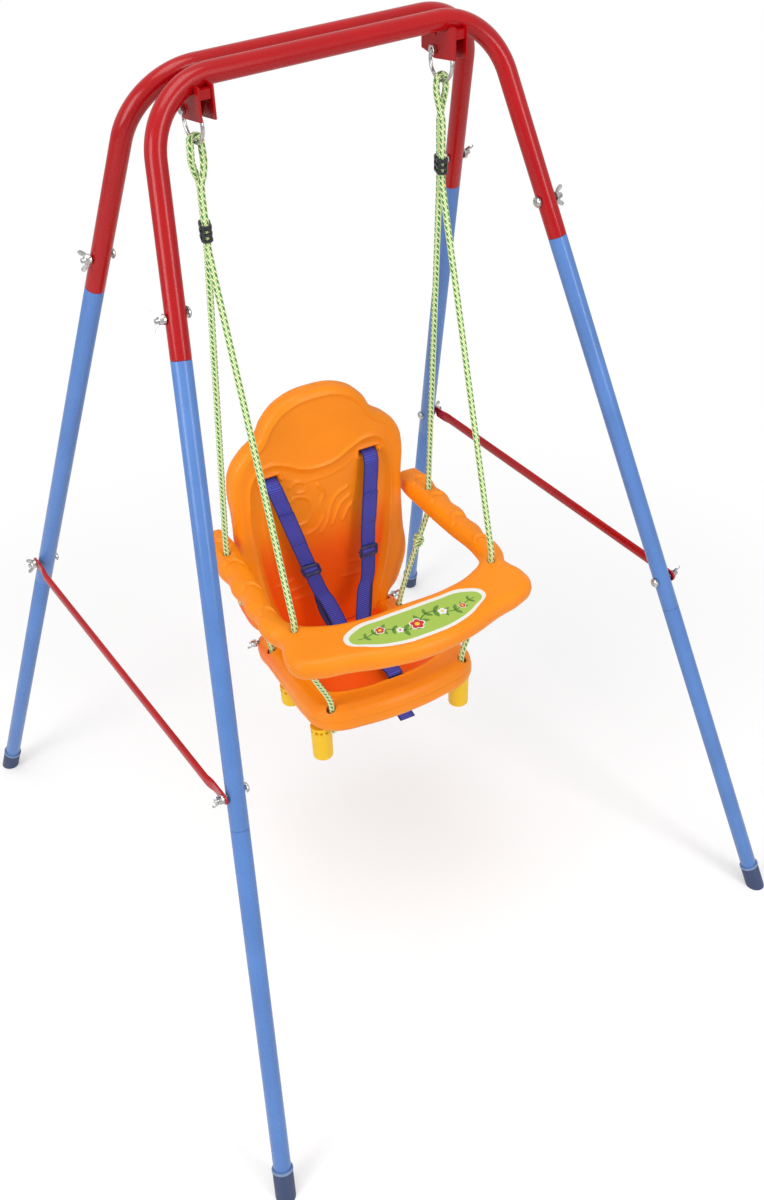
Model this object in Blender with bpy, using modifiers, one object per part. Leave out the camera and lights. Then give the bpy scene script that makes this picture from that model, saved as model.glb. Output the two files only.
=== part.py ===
"""Toddler swing set: a folding A-frame of bent steel tube with a rope-hung bucket seat.

Metres, +Z up. The origin is on the floor under the middle of the frame, +X runs to the right as
seen from the front, and the child faces -Y. The seat hangs turned a little on its ropes.
"""

import math

import bmesh
import bpy
from mathutils import Matrix, Vector

# Frame
TOP_HEIGHT = 1.190
BAR_SPACING = 0.0316
CORNER_WIDTH = 0.408
FOOT_WIDTH = 0.827
FOOT_DEPTH = 0.902
TUBE_RADIUS = 0.0111
TUBE_WALL = 0.0012
BEND_RADIUS = 0.080
RED_LEG = 0.257
UPPER_LEG = 0.522
SPIGOT = 0.075
BOLT_ABOVE_SEAM = 0.044
CAP_LENGTH = 0.032
CAP_WALL = 0.0014
CAP_FLOOR = 0.005

# Bolts and nuts
BOLT_RADIUS = 0.0028
HEAD_RADIUS = 0.0058
HEAD_HEIGHT = 0.0040
NUT_RADIUS = 0.0056
NUT_HEIGHT = 0.0065
WING_SPAN = 0.024
WING_HEIGHT = 0.011
WING_THICKNESS = 0.0026

# Fold pivot, its brackets and the rings
PIVOT_DROP = 0.034
BRACKET_X = 0.153
PLATE_THICKNESS = 0.0022
PLATE_REACH = 0.0095
BRACKET_REACH = {-1: 0.036, 1: 0.028}
BRACKET_RISE = 0.005
WEB_THICKNESS = 0.0025
RING_SLOT = 0.0085
RING_RADIUS = 0.020
RING_WIRE = 0.0020

# Braces
BRACE_WIDTH = 0.0155
BRACE_THICKNESS = 0.0075
BRACE_TAB = 0.0030
BRACE_TAB_LENGTH = 0.034
FOLD_ANGLE = math.radians(40.0)
BRACE_SWING = math.radians(70.0)

# Ropes
ROPE_RADIUS = 0.0040
GUARD_BORE = 0.0047
BASE_BORE = 0.0062
ADJUSTER_DROP = 0.128
ADJUSTER_HEIGHT = 0.018
ADJUSTER_WALL = 0.0022
ADJUSTER_TRAVEL = 0.040
ADJUSTER_TURN = math.radians(20.0)
KNOT_RADIUS = 0.0092
KNOT_HEIGHT = 0.023
KNOT_Z = 0.476
MOUTH_RISE = 0.012
CREST_LEAD = 0.016
UNDER_CLEARANCE = 0.0060
ROPE_STEP = 0.016
LOWER_ROPE_STEP = 0.014

# Seat, in its own axes before the turn on the ropes
SEAT_TURN = math.radians(-6.5)
GUARD_TOP = 0.562
GUARD_THICKNESS = 0.030
GUARD_ROUND = 0.011
GUARD_HALF_WIDTH = 0.169
GUARD_FRONT = -0.240
GUARD_REAR = 0.111
ARM_WIDTH = 0.037
TRAY_DEPTH = 0.088
SCALLOP_DEPTH = 0.0034
SCALLOP_COUNT = 5
GUARD_FRONT_HOLE = (0.140, -0.137)
GUARD_REAR_HOLE = (0.152, 0.048)
DECAL_HALF_LENGTH = 0.098
DECAL_DEPTH = 0.060
DECAL_THICKNESS = 0.0006

BACK_FRONT_Y = 0.072
BACK_THICKNESS = 0.030
BACK_ROUND = 0.010
BACK_BOTTOM = 0.346
BACK_TOP = 0.747
BACK_HALF_WIDTH = 0.127
BACK_FOOT_HALF_WIDTH = 0.0975
BACK_RECESS = 0.007
SLOT_X = 0.073
SLOT_Z = 0.633
SLOT_WIDTH = 0.026
SLOT_HEIGHT = 0.0075

BASE_FRONT_Y = -0.163
BASE_FRONT_TOP = 0.418
BASE_THICKNESS = 0.040
BASE_ROUND = 0.012
BASE_LENGTH = 0.277
BASE_HALF_WIDTH = 0.122
BASE_EAR_HALF_WIDTH = 0.1105
BASE_TILT = math.radians(12.0)
PAN_RIM = 0.029
PAN_LIP = 0.048
PAN_DEPTH = 0.013
NOTCH_CLEARANCE = 0.0025
BASE_FRONT_HOLE = (0.099, -0.137)
BASE_REAR_HOLE = (0.1035, 0.050)
SEAT_BOLT_Y = 0.089
SEAT_BOLT_Z = 0.357
SEAT_BOLT_DEPTH = 0.016

FOOT_RADIUS = 0.0150
FOOT_TAPER = 0.92
FOOT_BOTTOM = 0.311
FRONT_FOOT = (0.1060, -0.1165)
REAR_FOOT = (0.0995, 0.0)

# Harness
STRAP_WIDTH = 0.0225
STRAP_THICKNESS = 0.0018
CROTCH_SLOT = 0.0072
BUCKLE_X = 0.013
BUCKLE_WIDTH = 0.052
BUCKLE_LENGTH = 0.040
BUCKLE_THICKNESS = 0.012
BUCKLE_Y = -0.034
BUCKLE_Z = 0.398
SLIDER_HEIGHT = 0.018
SLIDER_WALL = 0.0028
SLIDER_Z = 0.485
SLIDER_X = {-1: -0.033, 1: 0.057}
SLIDER_TRAVEL = 0.018
STRAP_STAND = 0.012
STRAP_SLOPE = 0.13
STRAP_TAIL = 0.034
CROTCH_X = 0.005
TAIL_LEAN = 0.011

GAP = 0.0003
WELD_DISTANCE = 0.00001
SIDES = 16
SMALL_SIDES = 12
ROPE_SIDES = 8
RING_STEPS = 24
REACH = 0.5

ADJUSTER_Z = TOP_HEIGHT - PIVOT_DROP - ADJUSTER_DROP
ADJUSTER_PITCH = 2 * (ROPE_RADIUS + ADJUSTER_WALL / 2 + GAP)
CROTCH_SLOT_Y = BASE_FRONT_Y + PAN_LIP - CROTCH_SLOT

RED = (0.58, 0.007, 0.010)
BLUE = (0.145, 0.290, 0.720)
ORANGE = (0.930, 0.290, 0.015)
YELLOW = (0.900, 0.580, 0.025)
GREEN = (0.360, 0.740, 0.150)
NAVY = (0.040, 0.040, 0.300)

PIVOT = Vector((0.0, 0.0, TOP_HEIGHT - PIVOT_DROP))
X_AXIS, Z_AXIS = Vector((1, 0, 0)), Vector((0, 0, 1))


# Scene, materials and small helpers

def clear_scene():
    for item in list(bpy.data.objects):
        bpy.data.objects.remove(item, do_unlink=True)


def new_collection(name):
    group = bpy.data.collections.new(name)
    bpy.context.scene.collection.children.link(group)
    return group


def material(name, color, roughness, metallic=0.0):
    made = bpy.data.materials.new(name)
    made.use_nodes = True
    shader = made.node_tree.nodes["Principled BSDF"]
    shader.inputs["Base Color"].default_value = (*color, 1.0)
    shader.inputs["Roughness"].default_value = roughness
    shader.inputs["Metallic"].default_value = metallic
    return made


clear_scene()
PARTS = new_collection("toddler_swing_set")
CUTTERS = new_collection("cutters")
RED_PAINT = material("red_paint", RED, 0.25)
BLUE_PAINT = material("blue_paint", BLUE, 0.30)
STEEL = material("plated_steel", (0.78, 0.78, 0.80), 0.25, 1.0)
CAP_PLASTIC = material("cap_plastic", (0.18, 0.20, 0.26), 0.5)
ORANGE_PLASTIC = material("orange_plastic", ORANGE, 0.40)
YELLOW_PLASTIC = material("yellow_plastic", YELLOW, 0.40)
ROPE_YARN = material("rope_yarn", GREEN, 0.85)
WEBBING = material("webbing", NAVY, 0.80)
DARK_PLASTIC = material("dark_plastic", (0.03, 0.03, 0.06), 0.40)
DECAL_FILM = material("decal_film", (0.40, 0.60, 0.08), 0.35)


def axes(name, location, rotation=(0.0, 0.0, 0.0), parent=None):
    """An empty that carries the pieces made in its axes."""
    made = bpy.data.objects.new(name, None)
    made.location = location
    made.rotation_euler = rotation
    made.parent = parent
    PARTS.objects.link(made)
    return made


REAR_AXIS = axes("rear_frame_axis", PIVOT)
SWING_AXIS = axes("swing_axis", PIVOT)
SEAT_AXES = axes("seat_axes", -PIVOT, (0.0, 0.0, SEAT_TURN), SWING_AXIS)
BASE_AXES = axes("base_axes", (0.0, BASE_FRONT_Y, BASE_FRONT_TOP), (-BASE_TILT, 0.0, 0.0), SEAT_AXES)
bpy.context.view_layer.update()


def side_word(side):
    return "left" if side < 0 else "right"


def row_word(row):
    return "front" if row < 0 else "rear"


def add_object(name, data, finish, parent=None):
    """A part in the object's collection, or a cutter where there is no finish."""
    made = bpy.data.objects.new(name, data)
    if finish is None:
        CUTTERS.objects.link(made)
        made.hide_render = True
        made.display_type = "WIRE"
    else:
        PARTS.objects.link(made)
        data.materials.append(finish)
    made.parent = parent
    return made


def mesh_from(name, shape, finish, parent=None):
    data = bpy.data.meshes.new(name)
    shape.normal_update()
    bmesh.ops.recalc_face_normals(shape, faces=shape.faces[:])
    shape.to_mesh(data)
    shape.free()
    made = add_object(name, data, finish, parent)
    smooth(made)
    return made


def smooth(made):
    made.data.shade_smooth()
    made.data.set_sharp_from_angle(angle=math.radians(35.0))


def as_mesh(curve_object, finish, parent=None):
    """The curve's evaluated shape as a welded mesh, in the parent's axes."""
    bpy.context.view_layer.update()
    graph = bpy.context.evaluated_depsgraph_get()
    data = bpy.data.meshes.new_from_object(curve_object.evaluated_get(graph))
    name = curve_object.name
    bpy.data.objects.remove(curve_object, do_unlink=True)
    shape = bmesh.new()
    shape.from_mesh(data)
    bmesh.ops.remove_doubles(shape, verts=shape.verts[:], dist=WELD_DISTANCE)
    bpy.data.meshes.remove(data)
    return mesh_from(name, shape, finish, parent)


def hang(made, carrier):
    """Gives a finished part to the empty on its joint's axis, and leaves it where it is."""
    bpy.context.view_layer.update()
    place = made.matrix_world.copy()
    made.parent = carrier
    made.matrix_parent_inverse = carrier.matrix_world.inverted()
    made.matrix_world = place
    return made


def centre_on(made, point):
    """Moves a part's origin to a point of its joint's axis, given in its parent's axes."""
    made.data.transform(Matrix.Translation(-Vector(point)))
    made.location = point
    return made


def turned_to(direction):
    """The rotation that takes +Z to a direction."""
    return Vector(direction).to_track_quat("Z", "Y").to_matrix().to_4x4()


def rod(name, start, end, radius, finish=None, parent=None, sides=SMALL_SIDES, end_radius=None):
    """A closed cylinder, or a cone, from one point to another."""
    start, end = Vector(start), Vector(end)
    shape = bmesh.new()
    bmesh.ops.create_cone(
        shape,
        cap_ends=True,
        segments=sides,
        radius1=radius,
        radius2=radius if end_radius is None else end_radius,
        depth=(end - start).length,
    )
    shape.transform(Matrix.Translation((start + end) / 2) @ turned_to(end - start))
    return mesh_from(name, shape, finish, parent)


def block(name, low, high, finish=None, parent=None, rotation=None):
    """A box between two corners, which may be turned about its own middle."""
    low, high = Vector(low), Vector(high)
    shape = bmesh.new()
    bmesh.ops.create_cube(shape, size=1.0)
    turn = rotation if rotation is not None else Matrix.Identity(4)
    shape.transform(Matrix.Translation((low + high) / 2) @ turn @ Matrix.Diagonal((*(high - low), 1.0)))
    return mesh_from(name, shape, finish, parent)


def flat_curve(name, kind, half_thickness):
    """An empty filled curve in the XY plane, drawn out to both sides of Z = 0."""
    curve = bpy.data.curves.new(name, "CURVE")
    curve.dimensions = "2D"
    curve.fill_mode = "BOTH"
    curve.extrude = half_thickness
    spline = curve.splines.new(kind)
    spline.use_cyclic_u = True
    made = bpy.data.objects.new(name, curve)
    CUTTERS.objects.link(made)
    return made, curve, spline


def prism(name, loop, low, high, finish=None, along="X"):
    """A flat closed loop drawn out from low to high along X, with the loop in Y and Z, or along Z."""
    drawn, _, spline = flat_curve(name, "POLY", (high - low) / 2)
    spline.points.add(len(loop) - 1)
    for slot, (x, y) in zip(spline.points, loop):
        slot.co = (x, y, 0.0, 1.0)
    made = as_mesh(drawn, finish)
    middle = Vector((0.0, 0.0, (low + high) / 2))
    stand = Matrix(((0, 0, 1, 0), (1, 0, 0, 0), (0, 1, 0, 0), (0, 0, 0, 1)))
    turn = stand if along == "X" else Matrix.Identity(4)
    made.data.transform(turn @ Matrix.Translation(middle))
    return made


def arc(middle, radius, start, end, steps):
    """Points of a flat arc from one angle to another, in degrees."""
    angles = [math.radians(start + (end - start) * index / steps) for index in range(steps + 1)]
    return [(middle[0] + radius * math.cos(a), middle[1] + radius * math.sin(a)) for a in angles]


def combine(target, others, operation):
    """Cuts the others from the target or joins them to it, and removes them."""
    bpy.context.view_layer.update()
    for other in others:
        step = target.modifiers.new(operation.lower(), "BOOLEAN")
        step.operation = operation
        step.solver = "EXACT"
        step.object = other
    graph = bpy.context.evaluated_depsgraph_get()
    data = bpy.data.meshes.new_from_object(target.evaluated_get(graph))
    old = target.data
    target.modifiers.clear()
    target.data = data
    bpy.data.meshes.remove(old)
    for other in others:
        bpy.data.objects.remove(other, do_unlink=True)
    smooth(target)
    return target


def cut(target, *cutters):
    return combine(target, cutters, "DIFFERENCE")


def join(target, *pieces):
    return combine(target, pieces, "UNION")


def path_curve(name, points, radius, sides, caps=True):
    """A tube along points."""
    curve = bpy.data.curves.new(name, "CURVE")
    curve.dimensions = "3D"
    curve.bevel_depth = radius
    curve.bevel_resolution = (sides - 4) // 2
    curve.use_fill_caps = caps
    spline = curve.splines.new("POLY")
    spline.points.add(len(points) - 1)
    for slot, point in zip(spline.points, points):
        slot.co = (*point, 1.0)
    made = bpy.data.objects.new(name, curve)
    CUTTERS.objects.link(made)
    return made


def solid_tube(name, points, radius, finish=None, parent=None, sides=SIDES):
    return as_mesh(path_curve(name, points, radius, sides), finish, parent)


def turned(name, start, direction, profile, finish=None, sides=SIDES):
    """A closed profile of (radius, distance) pairs turned round an axis."""
    outline = bmesh.new()
    corners = [outline.verts.new((radius, 0.0, distance)) for radius, distance in profile]
    for corner_point, after in zip(corners, corners[1:] + corners[:1]):
        outline.edges.new((corner_point, after))
    data = bpy.data.meshes.new(name)
    outline.to_mesh(data)
    outline.free()
    drawn = bpy.data.objects.new(name, data)
    CUTTERS.objects.link(drawn)
    turn = drawn.modifiers.new("turn", "SCREW")
    turn.steps = sides
    turn.render_steps = sides
    turn.use_merge_vertices = True
    turn.merge_threshold = WELD_DISTANCE
    made = as_mesh(drawn, finish)
    made.data.transform(Matrix.Translation(start) @ turned_to(direction))
    return made


def hollow_tube(name, points, finish):
    """A bent tube of the frame's radius and wall, open at both ends."""
    made = as_mesh(path_curve(name, points, TUBE_RADIUS, SIDES, caps=False), finish)
    wall = made.modifiers.new("wall", "SOLIDIFY")
    wall.thickness = TUBE_WALL
    wall.offset = -1.0
    wall.use_even_offset = True
    return combine(made, [], "UNION")


def outline_solid(name, loop, thickness, rounding, finish, parent=None, steps=3, corner_steps=2):
    """A smooth closed outline in the XY plane, thick about Z = 0, with its edges rounded."""
    drawn, curve, spline = flat_curve(name, "BEZIER", thickness / 2 - rounding)
    curve.resolution_u = steps
    curve.bevel_depth = rounding
    curve.bevel_resolution = corner_steps
    curve.offset = -rounding
    spline.bezier_points.add(len(loop) - 1)
    for slot, (x, y) in zip(spline.bezier_points, loop):
        slot.co = (x, y, 0.0)
        slot.handle_left_type = "AUTO"
        slot.handle_right_type = "AUTO"
    return as_mesh(drawn, finish, parent)


def mirrored(half):
    """A closed loop from the points of its right half, in order from one end of the middle line."""
    return list(half) + [(-x, y) for x, y in reversed(half) if x > 1e-6]


def smooth_path(points, step):
    """Points every step along a Catmull-Rom curve through the given points."""
    points = [Vector(point) for point in points]
    ends = [2 * points[0] - points[1]] + points + [2 * points[-1] - points[-2]]
    found = []
    for before, start, end, after in zip(ends, ends[1:], ends[2:], ends[3:]):
        count = max(1, round((end - start).length / step))
        for index in range(count):
            t = index / count
            found.append(
                0.5
                * (
                    2 * start
                    + (end - before) * t
                    + (2 * before - 5 * start + 4 * end - after) * t**2
                    + (3 * start - before - 3 * end + after) * t**3
                )
            )
    return found + [points[-1]]


# Frame geometry

def corner(side, row):
    """Where the lines of a top bar and of its leg meet."""
    return Vector((side * CORNER_WIDTH / 2, row * BAR_SPACING / 2, TOP_HEIGHT))


def foot(side, row):
    return Vector((side * FOOT_WIDTH / 2, row * FOOT_DEPTH / 2, 0.0))


def leg_direction(side, row):
    return (foot(side, row) - corner(side, row)).normalized()


def on_leg(side, row, distance):
    return corner(side, row) + leg_direction(side, row) * distance


def rail_path(row, steps=8):
    """The top bar with its two bends and the start of both legs."""
    points = []
    for side in (-1, 1):
        along, down = Vector((side, 0, 0)), leg_direction(side, row)
        turn = along.angle(down)
        middle = corner(side, row) + (down - along).normalized() * BEND_RADIUS / math.cos(turn / 2)
        start = corner(side, row) - along * BEND_RADIUS * math.tan(turn / 2)
        spoke = start - middle
        axis = along.cross(down).normalized()
        bend = [
            middle + Matrix.Rotation(turn * index / steps, 3, axis) @ spoke for index in range(steps + 1)
        ]
        half = bend + [on_leg(side, row, RED_LEG - GAP / 2)]
        points = list(reversed(half)) if side < 0 else points + half
    return points


SPIGOT_RADIUS = TUBE_RADIUS * math.cos(math.pi / SIDES) - TUBE_WALL - GAP
JOINT_BOLT = RED_LEG - BOLT_ABOVE_SEAM
LEG_SEAM = RED_LEG + UPPER_LEG
BRACE_BOLT = LEG_SEAM - BOLT_ABOVE_SEAM


def bolt_hole(point, half_length=REACH / 10):
    return rod("hole", point - X_AXIS * half_length, point + X_AXIS * half_length, BOLT_RADIUS + GAP)


def build_frame_row(row):
    """One U of the frame: its rail, four leg tubes and two caps."""
    word = row_word(row)
    rail = hollow_tube(f"{word}_top_rail", rail_path(row), RED_PAINT)
    cut(rail, *[bolt_hole(on_leg(side, row, JOINT_BOLT)) for side in (-1, 1)])
    for side in (-1, 1):
        name = f"{word}_{side_word(side)}"
        leg_length = (foot(side, row) - corner(side, row)).length
        leg_end = leg_length - CAP_FLOOR - TUBE_RADIUS * math.tan(Z_AXIS.angle(-leg_direction(side, row)))
        for part, seam, end in (
            ("upper_leg", RED_LEG, LEG_SEAM - GAP / 2),
            ("lower_leg", LEG_SEAM, leg_end),
        ):
            step = seam + GAP / 2
            profile = [
                (SPIGOT_RADIUS, seam - SPIGOT),
                (SPIGOT_RADIUS, step),
                (TUBE_RADIUS, step),
                (TUBE_RADIUS, end),
                (TUBE_RADIUS - TUBE_WALL, end),
                (TUBE_RADIUS - TUBE_WALL, step + TUBE_WALL),
                (SPIGOT_RADIUS - TUBE_WALL, step + TUBE_WALL),
                (SPIGOT_RADIUS - TUBE_WALL, seam - SPIGOT),
            ]
            tube = turned(
                f"{name}_{part}", corner(side, row), leg_direction(side, row), profile, BLUE_PAINT
            )
            bolts = (JOINT_BOLT, BRACE_BOLT) if part == "upper_leg" else (BRACE_BOLT,)
            cut(tube, *[bolt_hole(on_leg(side, row, bolt)) for bolt in bolts])
        build_foot_cap(name, side, row, leg_length, leg_end)


def build_foot_cap(name, side, row, leg_length, leg_end):
    """A plastic cap over the end of a leg, cut flat where it stands on the floor."""
    outer = TUBE_RADIUS + GAP + CAP_WALL
    cap = rod(
        f"{name}_foot_cap",
        on_leg(side, row, leg_end - CAP_LENGTH),
        on_leg(side, row, leg_length + outer),
        outer / math.cos(math.pi / SIDES),
        CAP_PLASTIC,
        sides=SIDES,
    )
    socket = rod(
        "socket",
        on_leg(side, row, leg_end - 2 * CAP_LENGTH),
        on_leg(side, row, leg_end + GAP),
        (TUBE_RADIUS + GAP) / math.cos(math.pi / SIDES),
        sides=SIDES,
    )
    ground = foot(side, row)
    wide = REACH / 5
    floor = block("floor", ground - Vector((wide, wide, wide)), ground + Vector((wide, wide, 0)))
    cut(cap, socket, floor)


# Fasteners

def wing_nut(name, point, outward):
    """The nut and its two wings, pointing along X at a bolt's end."""
    hub = rod(name, point, point + outward * NUT_HEIGHT, NUT_RADIUS, STEEL, end_radius=NUT_RADIUS * 0.8)
    wings = []
    for turn in (-1, 1):
        tip = point + outward * (NUT_HEIGHT * 0.5 + WING_HEIGHT / 2)
        middle = tip + Z_AXIS * turn * (WING_SPAN / 4 + NUT_RADIUS / 4)
        size = Vector((WING_HEIGHT, WING_THICKNESS, WING_SPAN / 2 - NUT_RADIUS / 2)) / 2
        lean = Matrix.Rotation(turn * outward.x * math.radians(18.0), 4, "Y")
        wings.append(block("wing", middle - size, middle + size, rotation=lean))
    return join(hub, *wings)


def through_bolt(name, head_point, nut_point, wing=True):
    """A bolt from its head to its nut, in one solid with the nut it is screwed into."""
    way = (nut_point - head_point).normalized()
    head = rod(
        name, head_point - way * HEAD_HEIGHT, head_point, HEAD_RADIUS * 0.7, STEEL, end_radius=HEAD_RADIUS
    )
    tip = nut_point + way * NUT_HEIGHT * 1.4
    shaft = rod("shaft", head_point - way * HEAD_HEIGHT / 2, tip, BOLT_RADIUS)
    nut = wing_nut("nut", nut_point, way) if wing else hex_nut("nut", nut_point, way)
    return join(head, shaft, nut)


def hex_nut(name, point, outward):
    return rod(name, point, point + outward * NUT_HEIGHT * 0.75, NUT_RADIUS, STEEL, sides=6)


def seat_on_tube(point, outward):
    """A point on the bolt's line where a flat head clears the slanted tube."""
    lean = abs(leg_direction(1, 1).x)
    return point + outward * (TUBE_RADIUS / math.sqrt(1 - lean**2) + HEAD_RADIUS * lean + 2 * GAP)


def build_joint_bolts():
    for row in (-1, 1):
        for side in (-1, 1):
            point = on_leg(side, row, JOINT_BOLT)
            through_bolt(
                f"{row_word(row)}_{side_word(side)}_joint_bolt",
                seat_on_tube(point, -X_AXIS * side),
                seat_on_tube(point, X_AXIS * side),
            )


# Braces

def brace_plane():
    """How far outside the leg's centre line the brace's inner face lies."""
    lean = abs(leg_direction(1, 1).x)
    drop = BRACE_WIDTH / 2
    return TUBE_RADIUS / math.sqrt(1 - lean**2) + drop * lean + 2 * GAP


def build_brace(side):
    """A tube with flattened ends, drilled for the front bolt and slotted for the rear one."""
    front, rear = on_leg(side, -1, BRACE_BOLT), on_leg(side, 1, BRACE_BOLT)
    inner = side * (abs(front.x) + brace_plane())
    middle = inner + side * BRACE_THICKNESS / 2
    overhang = BRACE_WIDTH / 2
    tab_x = sorted((inner, inner + side * BRACE_TAB))
    name = f"{side_word(side)}_brace"
    body = rod(
        name,
        (middle, front.y + BRACE_TAB_LENGTH, front.z),
        (middle, rear.y - BRACE_TAB_LENGTH, rear.z),
        0.5,
        RED_PAINT,
        sides=SMALL_SIDES,
    )
    squeeze = Matrix.Diagonal((BRACE_THICKNESS, 1.0, BRACE_WIDTH, 1.0))
    place = Matrix.Translation((middle, 0, front.z))
    body.data.transform(place @ squeeze @ place.inverted())
    tabs = []
    for end, way in ((front, 1), (rear, -1)):
        inward = end.y + way * (BRACE_TAB_LENGTH + BRACE_THICKNESS)
        half = overhang - WELD_DISTANCE
        rounded = arc((0.0, end.z), half, 270, 90, 10)
        loop = [(end.y + way * y, z) for y, z in rounded]
        loop += [(inward, end.z + half), (inward, end.z - half)]
        tabs.append(prism("tab", loop, *tab_x))
    join(body, *tabs)
    lead = slot_lead(side)
    across = Vector((0.0, lead.z, -lead.y)) * (BOLT_RADIUS + 2 * GAP)
    seat_angle = math.degrees(math.atan2(lead.z, lead.y))
    mouth = rear + lead * BRACE_WIDTH
    loop = arc((rear.y, rear.z), across.length, seat_angle + 90, seat_angle + 270, SMALL_SIDES // 2)
    loop += [((mouth + across).y, (mouth + across).z), ((mouth - across).y, (mouth - across).z)]
    slot = prism("slot", loop, middle - BRACE_THICKNESS, middle + BRACE_THICKNESS)
    cut(body, bolt_hole(Vector((middle, front.y, front.z))), slot)
    centre_on(body, (front.x, front.y, front.z))


def slot_lead(side):
    """The way that the rear bolt leaves the brace's end as the frame starts to fold."""
    rear, front = on_leg(side, 1, BRACE_BOLT), on_leg(side, -1, BRACE_BOLT)
    arm = rear - PIVOT
    bolt_way = Vector((0.0, arm.z, -arm.y))
    span = rear.y - front.y
    end_way = Vector((0.0, 0.0, span * BRACE_SWING / FOLD_ANGLE))
    return (bolt_way - end_way).normalized()


def build_brace_bolts():
    for row in (-1, 1):
        for side in (-1, 1):
            point = on_leg(side, row, BRACE_BOLT)
            outside = Vector((side * (abs(point.x) + brace_plane() + BRACE_TAB + GAP), point.y, point.z))
            through_bolt(
                f"{row_word(row)}_{side_word(side)}_brace_bolt",
                seat_on_tube(point, -X_AXIS * side),
                outside,
            )


# Fold pivots

def bracket_plates(side, row):
    """The inner and outer X of a bracket's two plates, the front bracket outside the rear one."""
    half = RING_SLOT / 2 + (PLATE_THICKNESS + GAP if row < 0 else 0.0)
    middle = side * BRACKET_X
    return [
        sorted((middle + way * half, middle + way * (half + PLATE_THICKNESS))) for way in (-1, 1)
    ]


def build_bracket(side, row):
    """Two plates and the web between them, saddled to the top bar it is welded to."""
    bar_y = row * BAR_SPACING / 2
    far = row * BRACKET_REACH[row]
    low = PIVOT.z - PLATE_REACH
    high = TOP_HEIGHT - TUBE_RADIUS * 0.45
    plates = bracket_plates(side, row)
    near_web = row * PLATE_REACH * 0.55
    rounded = arc((0.0, PIVOT.z), PLATE_REACH, 270, 90, 10)
    near_bar = abs(bar_y) - TUBE_RADIUS * 0.5
    profile = rounded + [(near_bar, high), (abs(far), high), (abs(far), low + BRACKET_RISE)]
    profile = [(row * y, z) for y, z in profile]
    pieces = [prism("plate", profile, *span) for span in plates]
    web_top = TOP_HEIGHT - TUBE_RADIUS * 0.8
    web_low = TOP_HEIGHT - TUBE_RADIUS - BEND_RADIUS * 0.06 - WEB_THICKNESS
    y = sorted((near_web, far - row * WEB_THICKNESS))
    web = block(
        f"{row_word(row)}_{side_word(side)}_bracket",
        (sum(plates[0]) / 2, y[0], web_low),
        (sum(plates[1]) / 2, y[1], web_top),
        RED_PAINT,
    )
    join(web, *pieces)
    bars = [solid_tube("bar", rail_path(end), TUBE_RADIUS + GAP, sides=SIDES) for end in (-1, 1)]
    cut(web, *bars, bolt_hole(Vector((side * BRACKET_X, 0, PIVOT.z))))


def build_pivot(side):
    """The pivot bolt with its nut, and the steel ring that hangs on it."""
    outer = side * (abs(BRACKET_X) + RING_SLOT / 2 + 2 * PLATE_THICKNESS + 2 * GAP)
    inner = side * (abs(BRACKET_X) - RING_SLOT / 2 - 2 * PLATE_THICKNESS - 2 * GAP)
    name = f"{side_word(side)}_pivot_bolt"
    head = rod(
        name,
        (outer + side * HEAD_HEIGHT, 0, PIVOT.z),
        (outer, 0, PIVOT.z),
        HEAD_RADIUS * 0.7,
        STEEL,
        end_radius=HEAD_RADIUS,
    )
    start, tip = outer + side * HEAD_HEIGHT / 2, inner - side * NUT_HEIGHT
    shaft = rod("shaft", (start, 0, PIVOT.z), (tip, 0, PIVOT.z), BOLT_RADIUS)
    join(head, shaft)
    nut = rod(
        f"{side_word(side)}_pivot_nut",
        (inner, 0, PIVOT.z),
        (inner - side * NUT_HEIGHT * 0.75, 0, PIVOT.z),
        NUT_RADIUS,
        STEEL,
        sides=6,
    )
    cut(nut, bolt_hole(Vector((inner, 0, PIVOT.z))))
    ring = bpy.data.curves.new(f"{side_word(side)}_ring", "CURVE")
    ring.dimensions = "3D"
    ring.bevel_depth = RING_WIRE
    ring.bevel_resolution = 2
    spline = ring.splines.new("POLY")
    spline.points.add(RING_STEPS - 1)
    middle = ring_centre(side)
    for index, slot in enumerate(spline.points):
        angle = math.tau * index / RING_STEPS
        slot.co = (
            middle.x,
            middle.y + RING_RADIUS * math.sin(angle),
            middle.z + RING_RADIUS * math.cos(angle),
            1.0,
        )
    spline.use_cyclic_u = True
    made = bpy.data.objects.new(f"{side_word(side)}_ring", ring)
    CUTTERS.objects.link(made)
    hang(as_mesh(made, STEEL), SWING_AXIS)


def ring_centre(side):
    drop = RING_RADIUS * math.cos(math.pi / RING_STEPS) - RING_WIRE - BOLT_RADIUS - GAP
    return Vector((side * BRACKET_X, 0.0, PIVOT.z - drop))


# Ropes

def in_seat(x, y, z):
    """A place given in the seat's own axes."""
    return Matrix.Rotation(SEAT_TURN, 3, "Z") @ Vector((x, y, z))


def strand_x(side, way):
    """The two strands of a rope lie side by side across the ring's wire."""
    return side * BRACKET_X + way * side * (ROPE_RADIUS + RING_WIRE + 2 * GAP)


def adjuster_bore(side, way, z=0.0):
    """The two bores lie front to rear, since one strand goes on to each hole of the guard's arm."""
    off = way * ADJUSTER_PITCH / 2
    return Vector((side * BRACKET_X + off * math.sin(ADJUSTER_TURN), off * math.cos(ADJUSTER_TURN), z))


def twisted_strand(side, way, crest, top):
    """Between the ring and the adjuster the strands turn about each other, from side by side to in line."""
    start = 0.0 if way * side > 0 else math.pi
    turn = math.pi / 2 - ADJUSTER_TURN - (math.pi if side < 0 else 0.0)
    wide = ROPE_RADIUS + RING_WIRE + 2 * GAP
    points = []
    for share in (0.75, 0.5, 0.25):
        angle = start + turn * share
        off = wide + (ADJUSTER_PITCH / 2 - wide) * share
        x = side * BRACKET_X + off * math.cos(angle)
        points.append(Vector((x, off * math.sin(angle), crest + (top - crest) * share)))
    return points


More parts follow.
